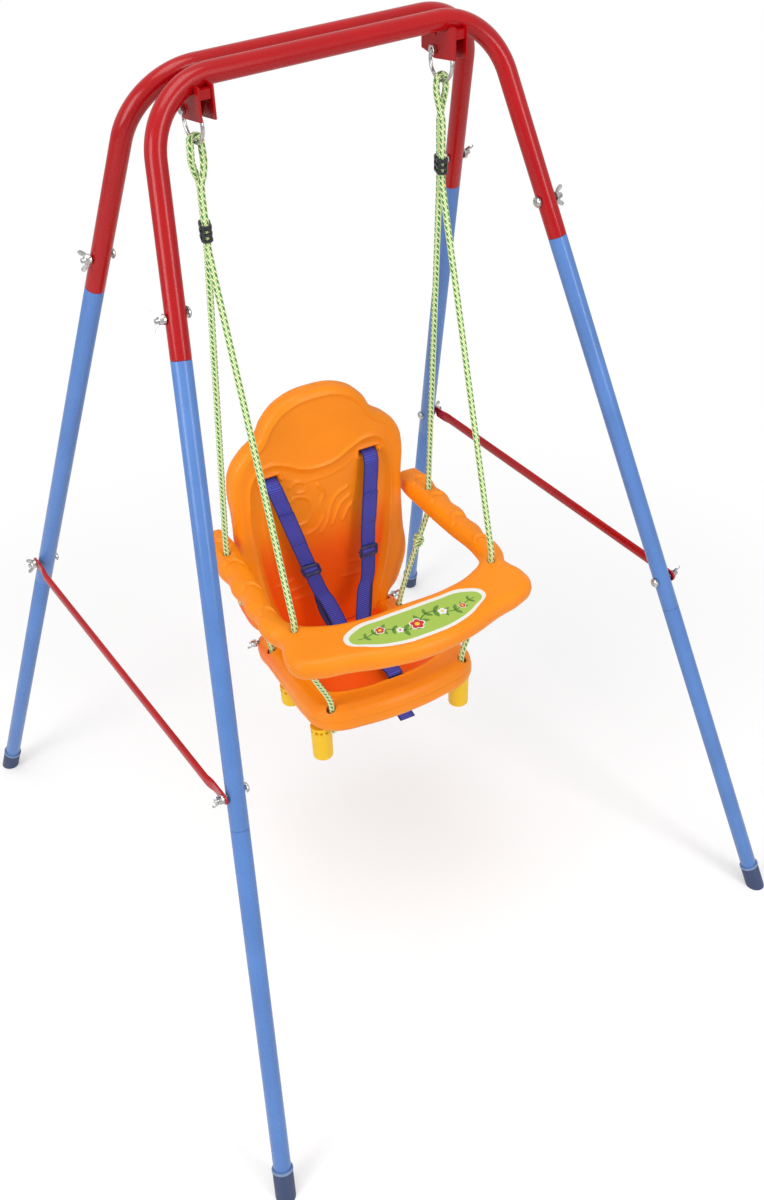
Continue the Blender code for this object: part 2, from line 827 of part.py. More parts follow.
GUARD_MIDDLE = GUARD_TOP - GUARD_THICKNESS / 2


def upper_rope_points(side):
    """From the guard's front hole up over the ring and down to its rear hole."""
    crest = ring_centre(side).z - RING_RADIUS + RING_WIRE + ROPE_RADIUS + 2 * GAP
    halves = []
    for way, hole in ((-1, GUARD_FRONT_HOLE), (1, GUARD_REAR_HOLE)):
        x, y = side * hole[0], hole[1]
        low, high = ADJUSTER_Z - ADJUSTER_HEIGHT / 2, ADJUSTER_Z + ADJUSTER_HEIGHT / 2
        top = high + ADJUSTER_TRAVEL
        below = adjuster_bore(side, way, low - MOUTH_RISE)
        mouth = in_seat(x, y, GUARD_TOP + MOUTH_RISE)
        halves.append(
            [
                in_seat(x, y, GUARD_MIDDLE + GAP / 2),
                in_seat(x, y, GUARD_TOP),
                mouth + (below - mouth) * 0.01,
                mouth + (below - mouth) * 0.30,
                mouth + (below - mouth) * 0.62,
                below + (mouth - below) * 0.04,
                adjuster_bore(side, way, low),
                adjuster_bore(side, way, high),
                adjuster_bore(side, way, top),
                *twisted_strand(side, way, crest - CREST_LEAD, top),
                Vector((strand_x(side, way), 0.0, crest - CREST_LEAD)),
            ]
        )
    over = []
    for index in range(1, 6):
        angle = math.pi * index / 6
        over.append(
            Vector(
                (
                    side * BRACKET_X - side * (ROPE_RADIUS + RING_WIRE + 2 * GAP) * math.cos(angle),
                    0.0,
                    crest - (ROPE_RADIUS + RING_WIRE + 2 * GAP) * (1 - math.sin(angle)),
                )
            )
        )
    return halves[0] + over + list(reversed(halves[1]))


def base_surface(y, depth=0.0):
    """The height of the base's sloped top, or of a level below it, at a place along the seat."""
    return BASE_FRONT_TOP - (y - BASE_FRONT_Y) * math.tan(BASE_TILT) - depth / math.cos(BASE_TILT)


def lower_rope_points(side):
    """From the guard's front hole down through the base, back inside its feet and up to the rear hole."""
    front_x, front_y = side * BASE_FRONT_HOLE[0], BASE_FRONT_HOLE[1]
    rear_x, rear_y = side * BASE_REAR_HOLE[0], BASE_REAR_HOLE[1]
    guard_front = (side * GUARD_FRONT_HOLE[0], GUARD_FRONT_HOLE[1])
    guard_rear = (side * GUARD_REAR_HOLE[0], GUARD_REAR_HOLE[1])
    bottom = GUARD_TOP - GUARD_THICKNESS
    inside = side * (REAR_FOOT[0] - FOOT_RADIUS - ROPE_RADIUS - 4 * GAP)
    knot = knot_place(side)
    under = [
        (front_x, front_y, 0.85 * BASE_THICKNESS),
        (front_x - side * 0.0012, front_y + 0.0010, BASE_THICKNESS + 0.0030),
        (front_x - side * 0.0055, front_y + 0.0045, BASE_THICKNESS + 0.97 * UNDER_CLEARANCE),
        (inside, front_y + 0.018, BASE_THICKNESS + 0.94 * UNDER_CLEARANCE),
        (inside, (front_y + rear_y) / 2, BASE_THICKNESS + UNDER_CLEARANCE),
        (inside, REAR_FOOT[1], BASE_THICKNESS + UNDER_CLEARANCE),
        (rear_x - side * 0.0040, rear_y - 0.0055, BASE_THICKNESS + 0.97 * UNDER_CLEARANCE),
        (rear_x - side * 0.0010, rear_y - 0.0012, BASE_THICKNESS + 0.0030),
        (rear_x, rear_y, 0.85 * BASE_THICKNESS),
    ]
    top = base_surface(front_y)
    halfway = ((guard_front[0] + front_x) / 2, (guard_front[1] + front_y) / 2, (bottom + top) / 2)
    above_rear = Vector((rear_x, rear_y, base_surface(rear_y) + MOUTH_RISE))
    return [
        in_seat(*guard_front, GUARD_MIDDLE - GAP / 2),
        in_seat(*guard_front, bottom - 0.004),
        in_seat(*halfway),
        in_seat(front_x, front_y, top + 0.008),
        *[in_seat(x, y, base_surface(y, depth)) for x, y, depth in under],
        in_seat(rear_x, rear_y, base_surface(rear_y) + 0.004),
        in_seat(*above_rear.lerp(knot, 0.5)),
        in_seat(*knot),
        in_seat(*guard_rear, bottom - 0.006),
        in_seat(*guard_rear, GUARD_MIDDLE - GAP / 2),
    ]


def knot_place(side):
    """The knot's middle, between the rear holes of the base and the guard."""
    bottom = GUARD_TOP - GUARD_THICKNESS
    start = Vector((side * BASE_REAR_HOLE[0], BASE_REAR_HOLE[1], base_surface(BASE_REAR_HOLE[1])))
    end = Vector((side * GUARD_REAR_HOLE[0], GUARD_REAR_HOLE[1], bottom))
    share = (KNOT_Z - start.z) / (end.z - start.z)
    return start.lerp(end, share)


def build_rope(side):
    word = side_word(side)
    upper_path = smooth_path(upper_rope_points(side), ROPE_STEP)
    lower_path = smooth_path(lower_rope_points(side), LOWER_ROPE_STEP)
    upper = solid_tube(f"{word}_upper_rope", upper_path, ROPE_RADIUS, ROPE_YARN, sides=ROPE_SIDES)
    lower = solid_tube(f"{word}_lower_rope", lower_path, ROPE_RADIUS, ROPE_YARN, sides=ROPE_SIDES)
    knot = bmesh.new()
    bmesh.ops.create_uvsphere(knot, u_segments=10, v_segments=6, radius=1.0)
    place = in_seat(*knot_place(side))
    knot.transform(
        Matrix.Translation(place) @ Matrix.Diagonal((KNOT_RADIUS, KNOT_RADIUS, KNOT_HEIGHT / 2, 1.0))
    )
    join(lower, mesh_from("knot", knot, None))
    for run in (upper, lower):
        hang(run, SWING_AXIS)
    build_rope_adjuster(side)


def build_rope_adjuster(side):
    """A small plastic block with a bore for each strand."""
    front, rear = adjuster_bore(side, -1), adjuster_bore(side, 1)
    radius = ROPE_RADIUS + GAP + ADJUSTER_WALL
    low, high = ADJUSTER_Z - ADJUSTER_HEIGHT / 2, ADJUSTER_Z + ADJUSTER_HEIGHT / 2
    lie = 90 - math.degrees(ADJUSTER_TURN)
    loop = arc((rear.x, rear.y), radius, lie - 80, lie + 80, 10)
    loop += arc((front.x, front.y), radius, lie + 100, lie + 260, 10)
    body = prism(f"{side_word(side)}_rope_adjuster", loop, low, high, DARK_PLASTIC, along="Z")
    bore_radius = (ROPE_RADIUS + GAP) / math.cos(math.pi / SIDES)
    beyond = ADJUSTER_HEIGHT / 2
    rods = []
    for x, y in ((front.x, front.y), (rear.x, rear.y)):
        rods.append(rod("bore", (x, y, low - beyond), (x, y, high + beyond), bore_radius, sides=SIDES))
    cut(body, *rods)
    centre_on(body, (side * BRACKET_X, 0.0, ADJUSTER_Z))


# Seat

def guard_outline():
    """Half of the guard seen from above, from the middle of its front edge round to the middle inside."""
    outer, inner = GUARD_HALF_WIDTH, GUARD_HALF_WIDTH - ARM_WIDTH
    ear = GUARD_FRONT + 0.055
    front = [
        (0.0, GUARD_FRONT),
        (outer * 0.35, GUARD_FRONT + 0.008),
        (outer * 0.62, GUARD_FRONT + 0.022),
        (outer * 0.84, GUARD_FRONT + 0.031),
        (outer * 0.975, ear - 0.010),
        (outer * 1.0, ear + 0.014),
        (outer * 0.955, ear + 0.048),
    ]
    start, end = ear + 0.062, GUARD_REAR - 0.016
    arm = []
    for index in range(2 * SCALLOP_COUNT + 1):
        bulge = SCALLOP_DEPTH if index % 2 else 0.0
        arm.append((outer - 0.001 + bulge, start + (end - start) * index / (2 * SCALLOP_COUNT)))
    rear = [
        (outer - 0.005, GUARD_REAR - 0.003),
        (outer - ARM_WIDTH / 2, GUARD_REAR),
        (inner + 0.004, GUARD_REAR - 0.002),
        (inner, GUARD_REAR - 0.015),
    ]
    tray = GUARD_FRONT + TRAY_DEPTH
    inside = [
        (inner, 0.040),
        (inner + 0.004, -0.030),
        (inner + 0.009, tray + 0.062),
        (inner + 0.002, tray + 0.034),
        (inner - 0.028, tray + 0.012),
        (inner - 0.070, tray + 0.001),
        (0.0, tray),
    ]
    return mirrored(front + arm + rear + inside)


def build_guard():
    """The U-shaped guard with its four rope holes, and the decal on its tray."""
    guard = outline_solid(
        "guard", guard_outline(), GUARD_THICKNESS, GUARD_ROUND, ORANGE_PLASTIC, SEAT_AXES, steps=2
    )
    guard.location = (0.0, 0.0, GUARD_MIDDLE)
    bores = []
    for side in (-1, 1):
        for x, y in (GUARD_FRONT_HOLE, GUARD_REAR_HOLE):
            low, high = GUARD_MIDDLE - REACH / 10, GUARD_MIDDLE + REACH / 10
            bore = rod("bore", (side * x, y, low), (side * x, y, high), GUARD_BORE)
            bore.parent = SEAT_AXES
            bores.append(bore)
    cut(guard, *bores)
    middle = GUARD_FRONT + TRAY_DEPTH / 2 - 0.002
    half = DECAL_DEPTH / 2
    right = [
        (0.0, middle - half),
        (DECAL_HALF_LENGTH * 0.45, middle - half * 0.86),
        (DECAL_HALF_LENGTH * 0.80, middle - half * 0.35),
        (DECAL_HALF_LENGTH, middle + half * 0.30),
        (DECAL_HALF_LENGTH * 0.80, middle + half * 0.92),
        (DECAL_HALF_LENGTH * 0.40, middle + half),
        (0.0, middle + half),
    ]
    decal = outline_solid("guard_decal", mirrored(right), DECAL_THICKNESS, 0.0, DECAL_FILM, SEAT_AXES)
    decal.location = (0.0, 0.0, GUARD_TOP + GAP + DECAL_THICKNESS / 2)


def back_outline():
    """Half of the backrest seen from the front, from the bottom up to the top of the head dome."""
    wide, foot_wide = BACK_HALF_WIDTH, BACK_FOOT_HALF_WIDTH
    return mirrored(
        [
            (0.0, BACK_BOTTOM),
            (foot_wide * 0.80, BACK_BOTTOM),
            (foot_wide, BACK_BOTTOM + 0.012),
            (wide * 0.80, BACK_BOTTOM + 0.030),
            (wide * 0.90, BACK_BOTTOM + 0.046),
            (wide * 0.965, BACK_BOTTOM + 0.066),
            (wide * 1.03, BACK_BOTTOM + 0.098),
            (wide, BACK_BOTTOM + 0.150),
            (wide * 0.985, BACK_BOTTOM + 0.230),
            (wide, BACK_BOTTOM + 0.284),
            (wide * 0.955, BACK_BOTTOM + 0.310),
            (wide * 0.83, BACK_BOTTOM + 0.331),
            (wide * 0.655, BACK_TOP - 0.052),
            (wide * 0.56, BACK_TOP - 0.031),
            (wide * 0.36, BACK_TOP - 0.009),
            (0.0, BACK_TOP),
        ]
    )


def recess_outline():
    """Half of the sunk panel, with the wave of the headrest along its top edge."""
    wide = BACK_HALF_WIDTH - 0.024
    return mirrored(
        [
            (0.0, BACK_BOTTOM - 0.030),
            (wide * 0.66, BACK_BOTTOM - 0.030),
            (wide * 0.72, BACK_BOTTOM + 0.030),
            (wide * 0.86, BACK_BOTTOM + 0.090),
            (wide * 0.98, BACK_BOTTOM + 0.180),
            (wide, BACK_BOTTOM + 0.256),
            (wide * 0.90, BACK_BOTTOM + 0.300),
            (wide * 0.71, BACK_BOTTOM + 0.310),
            (wide * 0.48, BACK_BOTTOM + 0.303),
            (wide * 0.24, BACK_BOTTOM + 0.290),
            (0.0, BACK_BOTTOM + 0.286),
        ]
    )


STAND_UP = Matrix.Rotation(math.radians(90.0), 4, "X")


def build_backrest():
    """The back shell, with a sunk panel, two strap slots and a bore for each seat bolt."""
    back = outline_solid(
        "backrest", back_outline(), BACK_THICKNESS, BACK_ROUND, ORANGE_PLASTIC, SEAT_AXES, steps=2
    )
    middle = BACK_FRONT_Y + BACK_THICKNESS / 2
    back.matrix_local = Matrix.Translation((0, middle, 0)) @ STAND_UP
    depth, rounding = 2 * BACK_RECESS, BACK_RECESS * 0.6
    panel = outline_solid("panel", recess_outline(), depth, rounding, None, SEAT_AXES, corner_steps=1)
    panel.matrix_local = Matrix.Translation((0, BACK_FRONT_Y, 0)) @ STAND_UP
    cutters = [panel]
    for side in (-1, 1):
        cutters.append(
            block(
                "slot",
                (side * SLOT_X - SLOT_WIDTH / 2, BACK_FRONT_Y - 0.01, SLOT_Z - SLOT_HEIGHT / 2),
                (side * SLOT_X + SLOT_WIDTH / 2, middle + BACK_THICKNESS, SLOT_Z + SLOT_HEIGHT / 2),
                parent=SEAT_AXES,
            )
        )
        tip = side * (BACK_FOOT_HALF_WIDTH - SEAT_BOLT_DEPTH - GAP)
        cutters.append(
            rod(
                "bore",
                (tip, SEAT_BOLT_Y, SEAT_BOLT_Z),
                (side * REACH / 2, SEAT_BOLT_Y, SEAT_BOLT_Z),
                BOLT_RADIUS + GAP,
                parent=SEAT_AXES,
            )
        )
    cut(back, *cutters)


def base_outline():
    """Half of the base seen square to its sloped top, from the front edge to the rear one."""
    wide, ear = BASE_HALF_WIDTH, BASE_EAR_HALF_WIDTH
    return mirrored(
        [
            (0.0, 0.0),
            (wide * 0.50, 0.006),
            (wide * 0.82, 0.018),
            (wide * 0.97, 0.040),
            (wide, 0.075),
            (wide * 0.97, BASE_LENGTH / 2),
            (ear * 1.02, BASE_LENGTH - 0.055),
            (ear, BASE_LENGTH - 0.020),
            (ear * 0.92, BASE_LENGTH - 0.004),
            (ear * 0.74, BASE_LENGTH),
            (0.0, BASE_LENGTH),
        ]
    )


def build_base():
    """The sloped base with its sunk pan, rope holes, strap slot and the notch for the backrest."""
    base = outline_solid(
        "seat_base", base_outline(), BASE_THICKNESS, BASE_ROUND, ORANGE_PLASTIC, BASE_AXES, steps=3
    )
    base.location = (0.0, 0.0, -BASE_THICKNESS / 2)
    wide = BASE_HALF_WIDTH - PAN_RIM
    rear = BASE_LENGTH + 0.01
    pan_loop = mirrored(
        [
            (0.0, PAN_LIP - 0.006),
            (wide * 0.60, PAN_LIP),
            (wide * 0.92, PAN_LIP + 0.018),
            (wide * 0.96, PAN_LIP + 0.060),
            (wide * 0.84, BASE_LENGTH * 0.62),
            (wide * 0.82, rear),
            (wide * 0.60, rear + 0.04),
            (0.0, rear + 0.05),
        ]
    )
    pan = outline_solid("pan", pan_loop, 2 * PAN_DEPTH, PAN_DEPTH * 0.6, None, BASE_AXES, corner_steps=1)
    notch_half = BACK_FOOT_HALF_WIDTH + NOTCH_CLEARANCE
    slot_half = STRAP_WIDTH / 2 + 4 * GAP
    slot_front, slot_rear = CROTCH_SLOT_Y - CROTCH_SLOT / 2, CROTCH_SLOT_Y + CROTCH_SLOT / 2
    cutters = [
        pan,
        block(
            "notch",
            (-notch_half, BACK_FRONT_Y - GAP, BACK_BOTTOM - REACH / 5),
            (notch_half, BACK_FRONT_Y + REACH / 5, BACK_BOTTOM + REACH / 5),
            parent=SEAT_AXES,
        ),
        block(
            "strap_slot",
            (CROTCH_X - slot_half, slot_front, BASE_FRONT_TOP - REACH / 5),
            (CROTCH_X + slot_half, slot_rear, BASE_FRONT_TOP + REACH / 5),
            parent=SEAT_AXES,
        ),
    ]
    for side in (-1, 1):
        for x, y in (BASE_FRONT_HOLE, BASE_REAR_HOLE):
            cutters.append(
                rod(
                    "bore",
                    (side * x, y, BASE_FRONT_TOP - REACH / 4),
                    (side * x, y, BASE_FRONT_TOP + REACH / 10),
                    BASE_BORE,
                    parent=SEAT_AXES,
                )
            )
        cutters.append(
            rod(
                "bolt_hole",
                (side * BACK_FOOT_HALF_WIDTH * 0.5, SEAT_BOLT_Y, SEAT_BOLT_Z),
                (side * REACH / 2, SEAT_BOLT_Y, SEAT_BOLT_Z),
                BOLT_RADIUS + GAP,
                parent=SEAT_AXES,
            )
        )
    cut(base, *cutters)


def build_seat_bolt(side):
    """A wing bolt through the base's ear into the foot of the backrest."""
    outside = Vector((side * (BASE_EAR_HALF_WIDTH + 4 * GAP), SEAT_BOLT_Y, SEAT_BOLT_Z))
    tip = Vector((side * (BACK_FOOT_HALF_WIDTH - SEAT_BOLT_DEPTH), SEAT_BOLT_Y, SEAT_BOLT_Z))
    bolt = wing_nut(f"{side_word(side)}_seat_bolt", outside, X_AXIS * side)
    bolt.parent = SEAT_AXES
    shaft = rod("shaft", tip, outside + X_AXIS * side * NUT_HEIGHT / 2, BOLT_RADIUS, parent=SEAT_AXES)
    join(bolt, shaft)


def build_foot(side, row):
    """A stub foot under the base, cut to the base's slope."""
    x, y = FRONT_FOOT if row < 0 else REAR_FOOT
    bottom = Vector((side * x, y, FOOT_BOTTOM))
    height = base_surface(y, BASE_THICKNESS) - FOOT_BOTTOM
    made = rod(
        f"{row_word(row)}_{side_word(side)}_seat_foot",
        bottom,
        bottom + Z_AXIS * (height + 2 * FOOT_RADIUS),
        FOOT_RADIUS * FOOT_TAPER,
        YELLOW_PLASTIC,
        SEAT_AXES,
        sides=16,
        end_radius=FOOT_RADIUS,
    )
    above = block(
        "above",
        (-REACH, -REACH, -BASE_THICKNESS - GAP),
        (REACH, REACH, REACH / 5),
        parent=BASE_AXES,
    )
    cut(made, above)


# Harness

def ribbon(name, points, finish, width=STRAP_WIDTH, thickness=STRAP_THICKNESS):
    """A flat strap along points of its centre line, level across its width."""
    shape = bmesh.new()
    rows = []
    for point in points:
        rows.append([shape.verts.new(point + X_AXIS * way * width / 2) for way in (-1, 1)])
    for before, after in zip(rows, rows[1:]):
        shape.faces.new((before[0], before[1], after[1], after[0]))
    data = bpy.data.meshes.new(name)
    shape.to_mesh(data)
    shape.free()
    made = add_object(name, data, finish, SEAT_AXES)
    thick = made.modifiers.new("thickness", "SOLIDIFY")
    thick.thickness = thickness
    thick.offset = 0.0
    thick.use_even_offset = True
    return combine(made, [], "UNION")


def strap_end_x(side):
    """Where a shoulder strap meets the buckle."""
    return BUCKLE_X + side * (BUCKLE_WIDTH / 2 - STRAP_WIDTH / 2)


def strap_x(side, z):
    """The shoulder straps lean in from slot to slider and past its travel, and then to the buckle."""
    start = side * SLOT_X
    lean = (SLIDER_X[side] - start) / (SLOT_Z - SLIDER_Z)
    bend = SLIDER_Z - SLIDER_HEIGHT - SLIDER_TRAVEL
    if z >= bend:
        return start + lean * max(SLOT_Z - z, 0.0)
    turn = start + lean * (SLOT_Z - bend)
    share = (bend - z) / (bend - BUCKLE_Z)
    return turn + (strap_end_x(side) - turn) * min(share, 1.0)


def strap_line():
    """The shoulder straps' centre line from the side, out of the slot, down and forward to the buckle."""
    face = BACK_FRONT_Y - STRAP_THICKNESS
    slider_low = SLIDER_Z - SLIDER_HEIGHT - SLIDER_TRAVEL
    slider_high = SLIDER_Z + SLIDER_HEIGHT + SLIDER_TRAVEL
    upper = face - STRAP_STAND
    lower = upper - STRAP_SLOPE * (slider_high - slider_low)
    pan = base_surface(0.02, PAN_DEPTH) + 0.006
    rear = BUCKLE_Y + BUCKLE_LENGTH / 2 + GAP
    return [
        (BACK_FRONT_Y + BACK_THICKNESS + 0.004, SLOT_Z),
        (face + 0.003, SLOT_Z),
        (face - 0.004, SLOT_Z - 0.006),
        (face - 0.008, SLOT_Z - 0.022),
        (upper, slider_high),
        (lower, slider_low),
        (lower - 0.007, slider_low - 0.022),
        (0.020, pan + 0.010),
        (0.008, pan + 0.006),
        (rear + 0.008, BUCKLE_Z),
        (rear, BUCKLE_Z),
    ]


def build_shoulder_strap(side):
    points = [Vector((strap_x(side, z), y, z)) for y, z in strap_line()]
    ribbon(f"{side_word(side)}_shoulder_strap", points, WEBBING)
    build_strap_slider(side)


def slider_axis(side):
    """The strap's own direction where the slider runs, and the slider's middle."""
    (y_high, z_high), (y_low, z_low) = strap_line()[4], strap_line()[5]
    high = Vector((strap_x(side, z_high), y_high, z_high))
    low = Vector((strap_x(side, z_low), y_low, z_low))
    return (high - low).normalized(), (high + low) / 2


def build_strap_slider(side):
    """A flat frame round the strap, square to it."""
    way, middle = slider_axis(side)
    across = X_AXIS
    lie = way.cross(across).normalized()
    along = across.cross(lie)
    turn = Matrix((across, lie, along)).transposed().to_4x4()
    shear = Matrix.Identity(4)
    shear[0][2] = way.x / way.dot(along)
    place = Matrix.Translation(middle) @ turn @ shear
    outer = Vector(
        (STRAP_WIDTH / 2 + GAP + SLIDER_WALL, STRAP_THICKNESS / 2 + GAP + SLIDER_WALL, SLIDER_HEIGHT / 2)
    )
    inner = Vector((STRAP_WIDTH / 2 + GAP, STRAP_THICKNESS / 2 + GAP, SLIDER_HEIGHT))
    body = block(f"{side_word(side)}_strap_slider", -outer, outer, DARK_PLASTIC)
    bore = block("bore", -inner, inner)
    for made in (body, bore):
        made.data.transform(place)
        made.parent = SEAT_AXES
    cut(body, bore)
    centre_on(body, middle)


def build_crotch_strap():
    """From the buckle forward along the pan, down through its slot, with the end left hanging."""
    front = BUCKLE_Y - BUCKLE_LENGTH / 2 - GAP
    middle = CROTCH_SLOT_Y + CROTCH_SLOT / 2 - STRAP_THICKNESS / 2 - 1.5 * GAP
    top, under = base_surface(CROTCH_SLOT_Y), base_surface(CROTCH_SLOT_Y, BASE_THICKNESS)
    line = [
        (BUCKLE_X, front, BUCKLE_Z),
        (BUCKLE_X - 0.001, front - 0.008, BUCKLE_Z + 0.001),
        (CROTCH_X, middle + 0.017, top + 0.0010),
        (CROTCH_X, middle + 0.008, top + 0.0026),
        (CROTCH_X, middle + 0.0022, top + 0.0025),
        (CROTCH_X, middle + 0.0001, top + 0.0008),
        (CROTCH_X, middle, top - 0.004),
        (CROTCH_X, middle, under - 0.004),
        (CROTCH_X + TAIL_LEAN * 0.4, middle - 0.004, under - STRAP_TAIL * 0.47),
        (CROTCH_X + TAIL_LEAN, middle - 0.014, under - STRAP_TAIL),
    ]
    ribbon("crotch_strap", [Vector(point) for point in line], WEBBING)


def build_buckle():
    size = Vector((BUCKLE_WIDTH, BUCKLE_LENGTH, BUCKLE_THICKNESS)) / 2
    middle = Vector((BUCKLE_X, BUCKLE_Y, BUCKLE_Z))
    buckle = block("harness_buckle", middle - size, middle + size, DARK_PLASTIC, SEAT_AXES)
    edge = buckle.modifiers.new("edge", "BEVEL")
    edge.width = BUCKLE_THICKNESS * 0.25
    edge.segments = 2
    combine(buckle, [], "UNION")


def main():
    for row in (-1, 1):
        build_frame_row(row)
        for side in (-1, 1):
            build_bracket(side, row)
    build_joint_bolts()
    build_brace_bolts()
    for side in (-1, 1):
        build_brace(side)
        build_pivot(side)
        build_rope(side)
    build_guard()
    build_backrest()
    build_base()
    for side in (-1, 1):
        build_seat_bolt(side)
        build_shoulder_strap(side)
        for row in (-1, 1):
            build_foot(side, row)
    build_crotch_strap()
    build_buckle()
    for made in list(PARTS.objects):
        if made.type == "MESH" and made.name.startswith("rear_") and made.parent is None:
            hang(made, REAR_AXIS)


main()
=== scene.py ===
"""Dresses the toddler swing set: an enamelled tube frame, braided ropes and a moulded bucket seat.

Metres, +Z up. The origin is on the floor under the middle of the frame, and the child faces -Y.
"""

import logging
import math
from collections.abc import Callable, Sequence
from dataclasses import dataclass
from enum import IntEnum, StrEnum

import bmesh
import bpy
import numpy as np
from mathutils import Matrix, Vector


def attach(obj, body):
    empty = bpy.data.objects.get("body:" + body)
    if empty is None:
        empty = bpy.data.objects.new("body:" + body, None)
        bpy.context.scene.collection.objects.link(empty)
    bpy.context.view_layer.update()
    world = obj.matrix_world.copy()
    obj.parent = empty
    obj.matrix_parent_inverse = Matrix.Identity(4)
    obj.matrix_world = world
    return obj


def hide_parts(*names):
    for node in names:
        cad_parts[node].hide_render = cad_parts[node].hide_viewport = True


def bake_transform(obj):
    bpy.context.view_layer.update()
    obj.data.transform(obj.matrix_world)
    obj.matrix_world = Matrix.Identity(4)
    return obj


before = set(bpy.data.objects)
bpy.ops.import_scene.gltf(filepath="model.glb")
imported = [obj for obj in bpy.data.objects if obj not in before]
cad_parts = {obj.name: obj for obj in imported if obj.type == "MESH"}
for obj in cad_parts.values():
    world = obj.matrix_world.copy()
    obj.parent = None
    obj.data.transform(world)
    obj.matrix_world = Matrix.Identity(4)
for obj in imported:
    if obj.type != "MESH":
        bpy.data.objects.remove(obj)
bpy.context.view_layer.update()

LOG = logging.getLogger("swing_set")
GAP = 0.0003
X_AXIS = np.array([1.0, 0.0, 0.0])
Z_AXIS = np.array([0.0, 0.0, 1.0])
SIDES = (-1, 1)
ROWS = (-1, 1)

Array = np.ndarray
Piece = bpy.types.Object
Finish = bpy.types.Material
Socket = bpy.types.NodeSocket
Points = Sequence[Sequence[float]]
Loop = Sequence[tuple[float, float]]
Relief = Callable[[Array, Array], Array]


class Body(StrEnum):
    """The CAD bodies that pieces ride on."""

    FRONT = "front_frame"
    REAR = "rear_frame"
    SWING = "swing"
    GUARD = "guard"


class Solver(StrEnum):
    """Blender's ways of cutting one form from another."""

    EXACT = "EXACT"
    MANIFOLD = "MANIFOLD"


class Ink(IntEnum):
    """The printed film's inks, in the order of its finishes."""

    WHITE = 0
    GREEN = 1
    LEAF = 2
    RED = 3
    YELLOW = 4


def side_word(side: int) -> str:
    """Names the child's side as seen from the front: left is -X."""
    return "left" if side < 0 else "right"


def row_word(row: int) -> str:
    """Names the front frame, -Y, or the rear one."""
    return "front" if row < 0 else "rear"


def row_body(row: int) -> Body:
    """Gives the body that holds one frame's pieces."""
    return Body.FRONT if row < 0 else Body.REAR


def unit(vector: Sequence[float]) -> Array:
    """Scales a vector to length one."""
    vector = np.asarray(vector, float)
    return vector / np.linalg.norm(vector)


def units(rows: Array) -> Array:
    """Scales each row to length one."""
    return rows / np.linalg.norm(rows, axis=1)[:, None]


def turns(count: int) -> Array:
    """Lists even angles once round, in radians."""
    return np.linspace(0.0, math.tau, count, endpoint=False)


def ease(low: float, high: float, value: Array) -> Array:
    """Rises smoothly from 0 at low to 1 at high."""
    share = np.clip((value - low) / (high - low), 0.0, 1.0)
    return share * share * (3.0 - 2.0 * share)


def bead(distance: Array, width: float) -> Array:
    """Gives a rounded ridge of height one that is about twice the width across."""
    return np.exp(-((distance / width) ** 2))


def flattened(values: Array, power: float) -> Array:
    """Raises the size of each value to a power and keeps its sign."""
    return np.sign(values) * np.abs(values) ** power


def axes_about(way: Sequence[float]) -> tuple[Array, Array, Array]:
    """Gives a direction as a unit vector and two axes square to it."""
    along = unit(way)
    side = unit(np.cross(along, X_AXIS if abs(along[0]) < 0.9 else Z_AXIS))
    return along, side, np.cross(along, side)


def moved(points: Array, place: Matrix) -> Array:
    """Moves rows of places by a matrix."""
    matrix = np.array(place)
    return points @ matrix[:3, :3].T + matrix[:3, 3]


# Lines and forms


class Line:
    """A line through close points, read by distance along it, with axes that turn as little as they can."""

    def __init__(self, points: Points) -> None:
        """Measures the line and carries a pair of cross axes along it.

        Args:
            points: the line's points, close enough together to be its shape.
        """
        self.points = np.array([tuple(p) for p in points], float)
        steps = np.linalg.norm(np.diff(self.points, axis=0), axis=1)
        self.reach = np.concatenate([[0.0], np.cumsum(steps)])
        self.way = units(np.gradient(self.points, self.reach, axis=0))
        start = X_AXIS if abs(self.way[0] @ X_AXIS) < 0.9 else Z_AXIS
        side = [unit(start - self.way[0] * (start @ self.way[0]))]
        for direction in self.way[1:]:
            side.append(unit(side[-1] - direction * (side[-1] @ direction)))
        self.side = np.array(side)

    @property
    def length(self) -> float:
        """The line's whole length."""
        return float(self.reach[-1])

    def at(self, distance: Array) -> tuple[Array, Array, Array]:
        """Reads the line.

        Args:
            distance: distances from its start, which may lie beyond either end.

        Returns:
            The places and the two cross axes there.
        """
        inside = np.clip(distance, 0.0, self.length)
        place, way, side = (
            np.stack([np.interp(inside, self.reach, table[:, axis]) for axis in range(3)], axis=1)
            for table in (self.points, self.way, self.side)
        )
        way = units(way)
        side = units(side - way * np.sum(side * way, axis=1)[:, None])
        return place + way * (distance - inside)[:, None], side, np.cross(way, side)


def smooth_path(points: Points, step: float, closed: bool = False) -> Array:
    """Draws a Catmull-Rom curve through points.

    Args:
        points: the places that it passes through.
        step: about how far apart the new points lie.
        closed: whether it goes on from the last point to the first one.

    Returns:
        The curve's points, one row each, without a repeated end.
    """
    given = np.array([tuple(p) for p in points], float)
    if closed:
        ends = np.vstack([given[-1:], given, given[:2]])
    else:
        ends = np.vstack([2 * given[0] - given[1], given, 2 * given[-1] - given[-2]])
    found = []
    for before, start, end, after in zip(ends, ends[1:], ends[2:], ends[3:]):
        count = max(1, round(float(np.linalg.norm(end - start)) / step))
        share = (np.arange(count) / count)[:, None]
        bend, twist = 2 * before - 5 * start + 4 * end - after, 3 * start - before - 3 * end + after
        found.append(0.5 * (2 * start + (end - before) * share + bend * share**2 + twist * share**3))
    return np.vstack(found if closed else [*found, given[-1:]])


def mirrored(half: Loop) -> list[tuple[float, float]]:
    """Completes a closed loop from its right half, listed from one end of the middle to the other."""
    return [*half, *[(-x, y) for x, y in reversed(half) if x > 1e-6]]


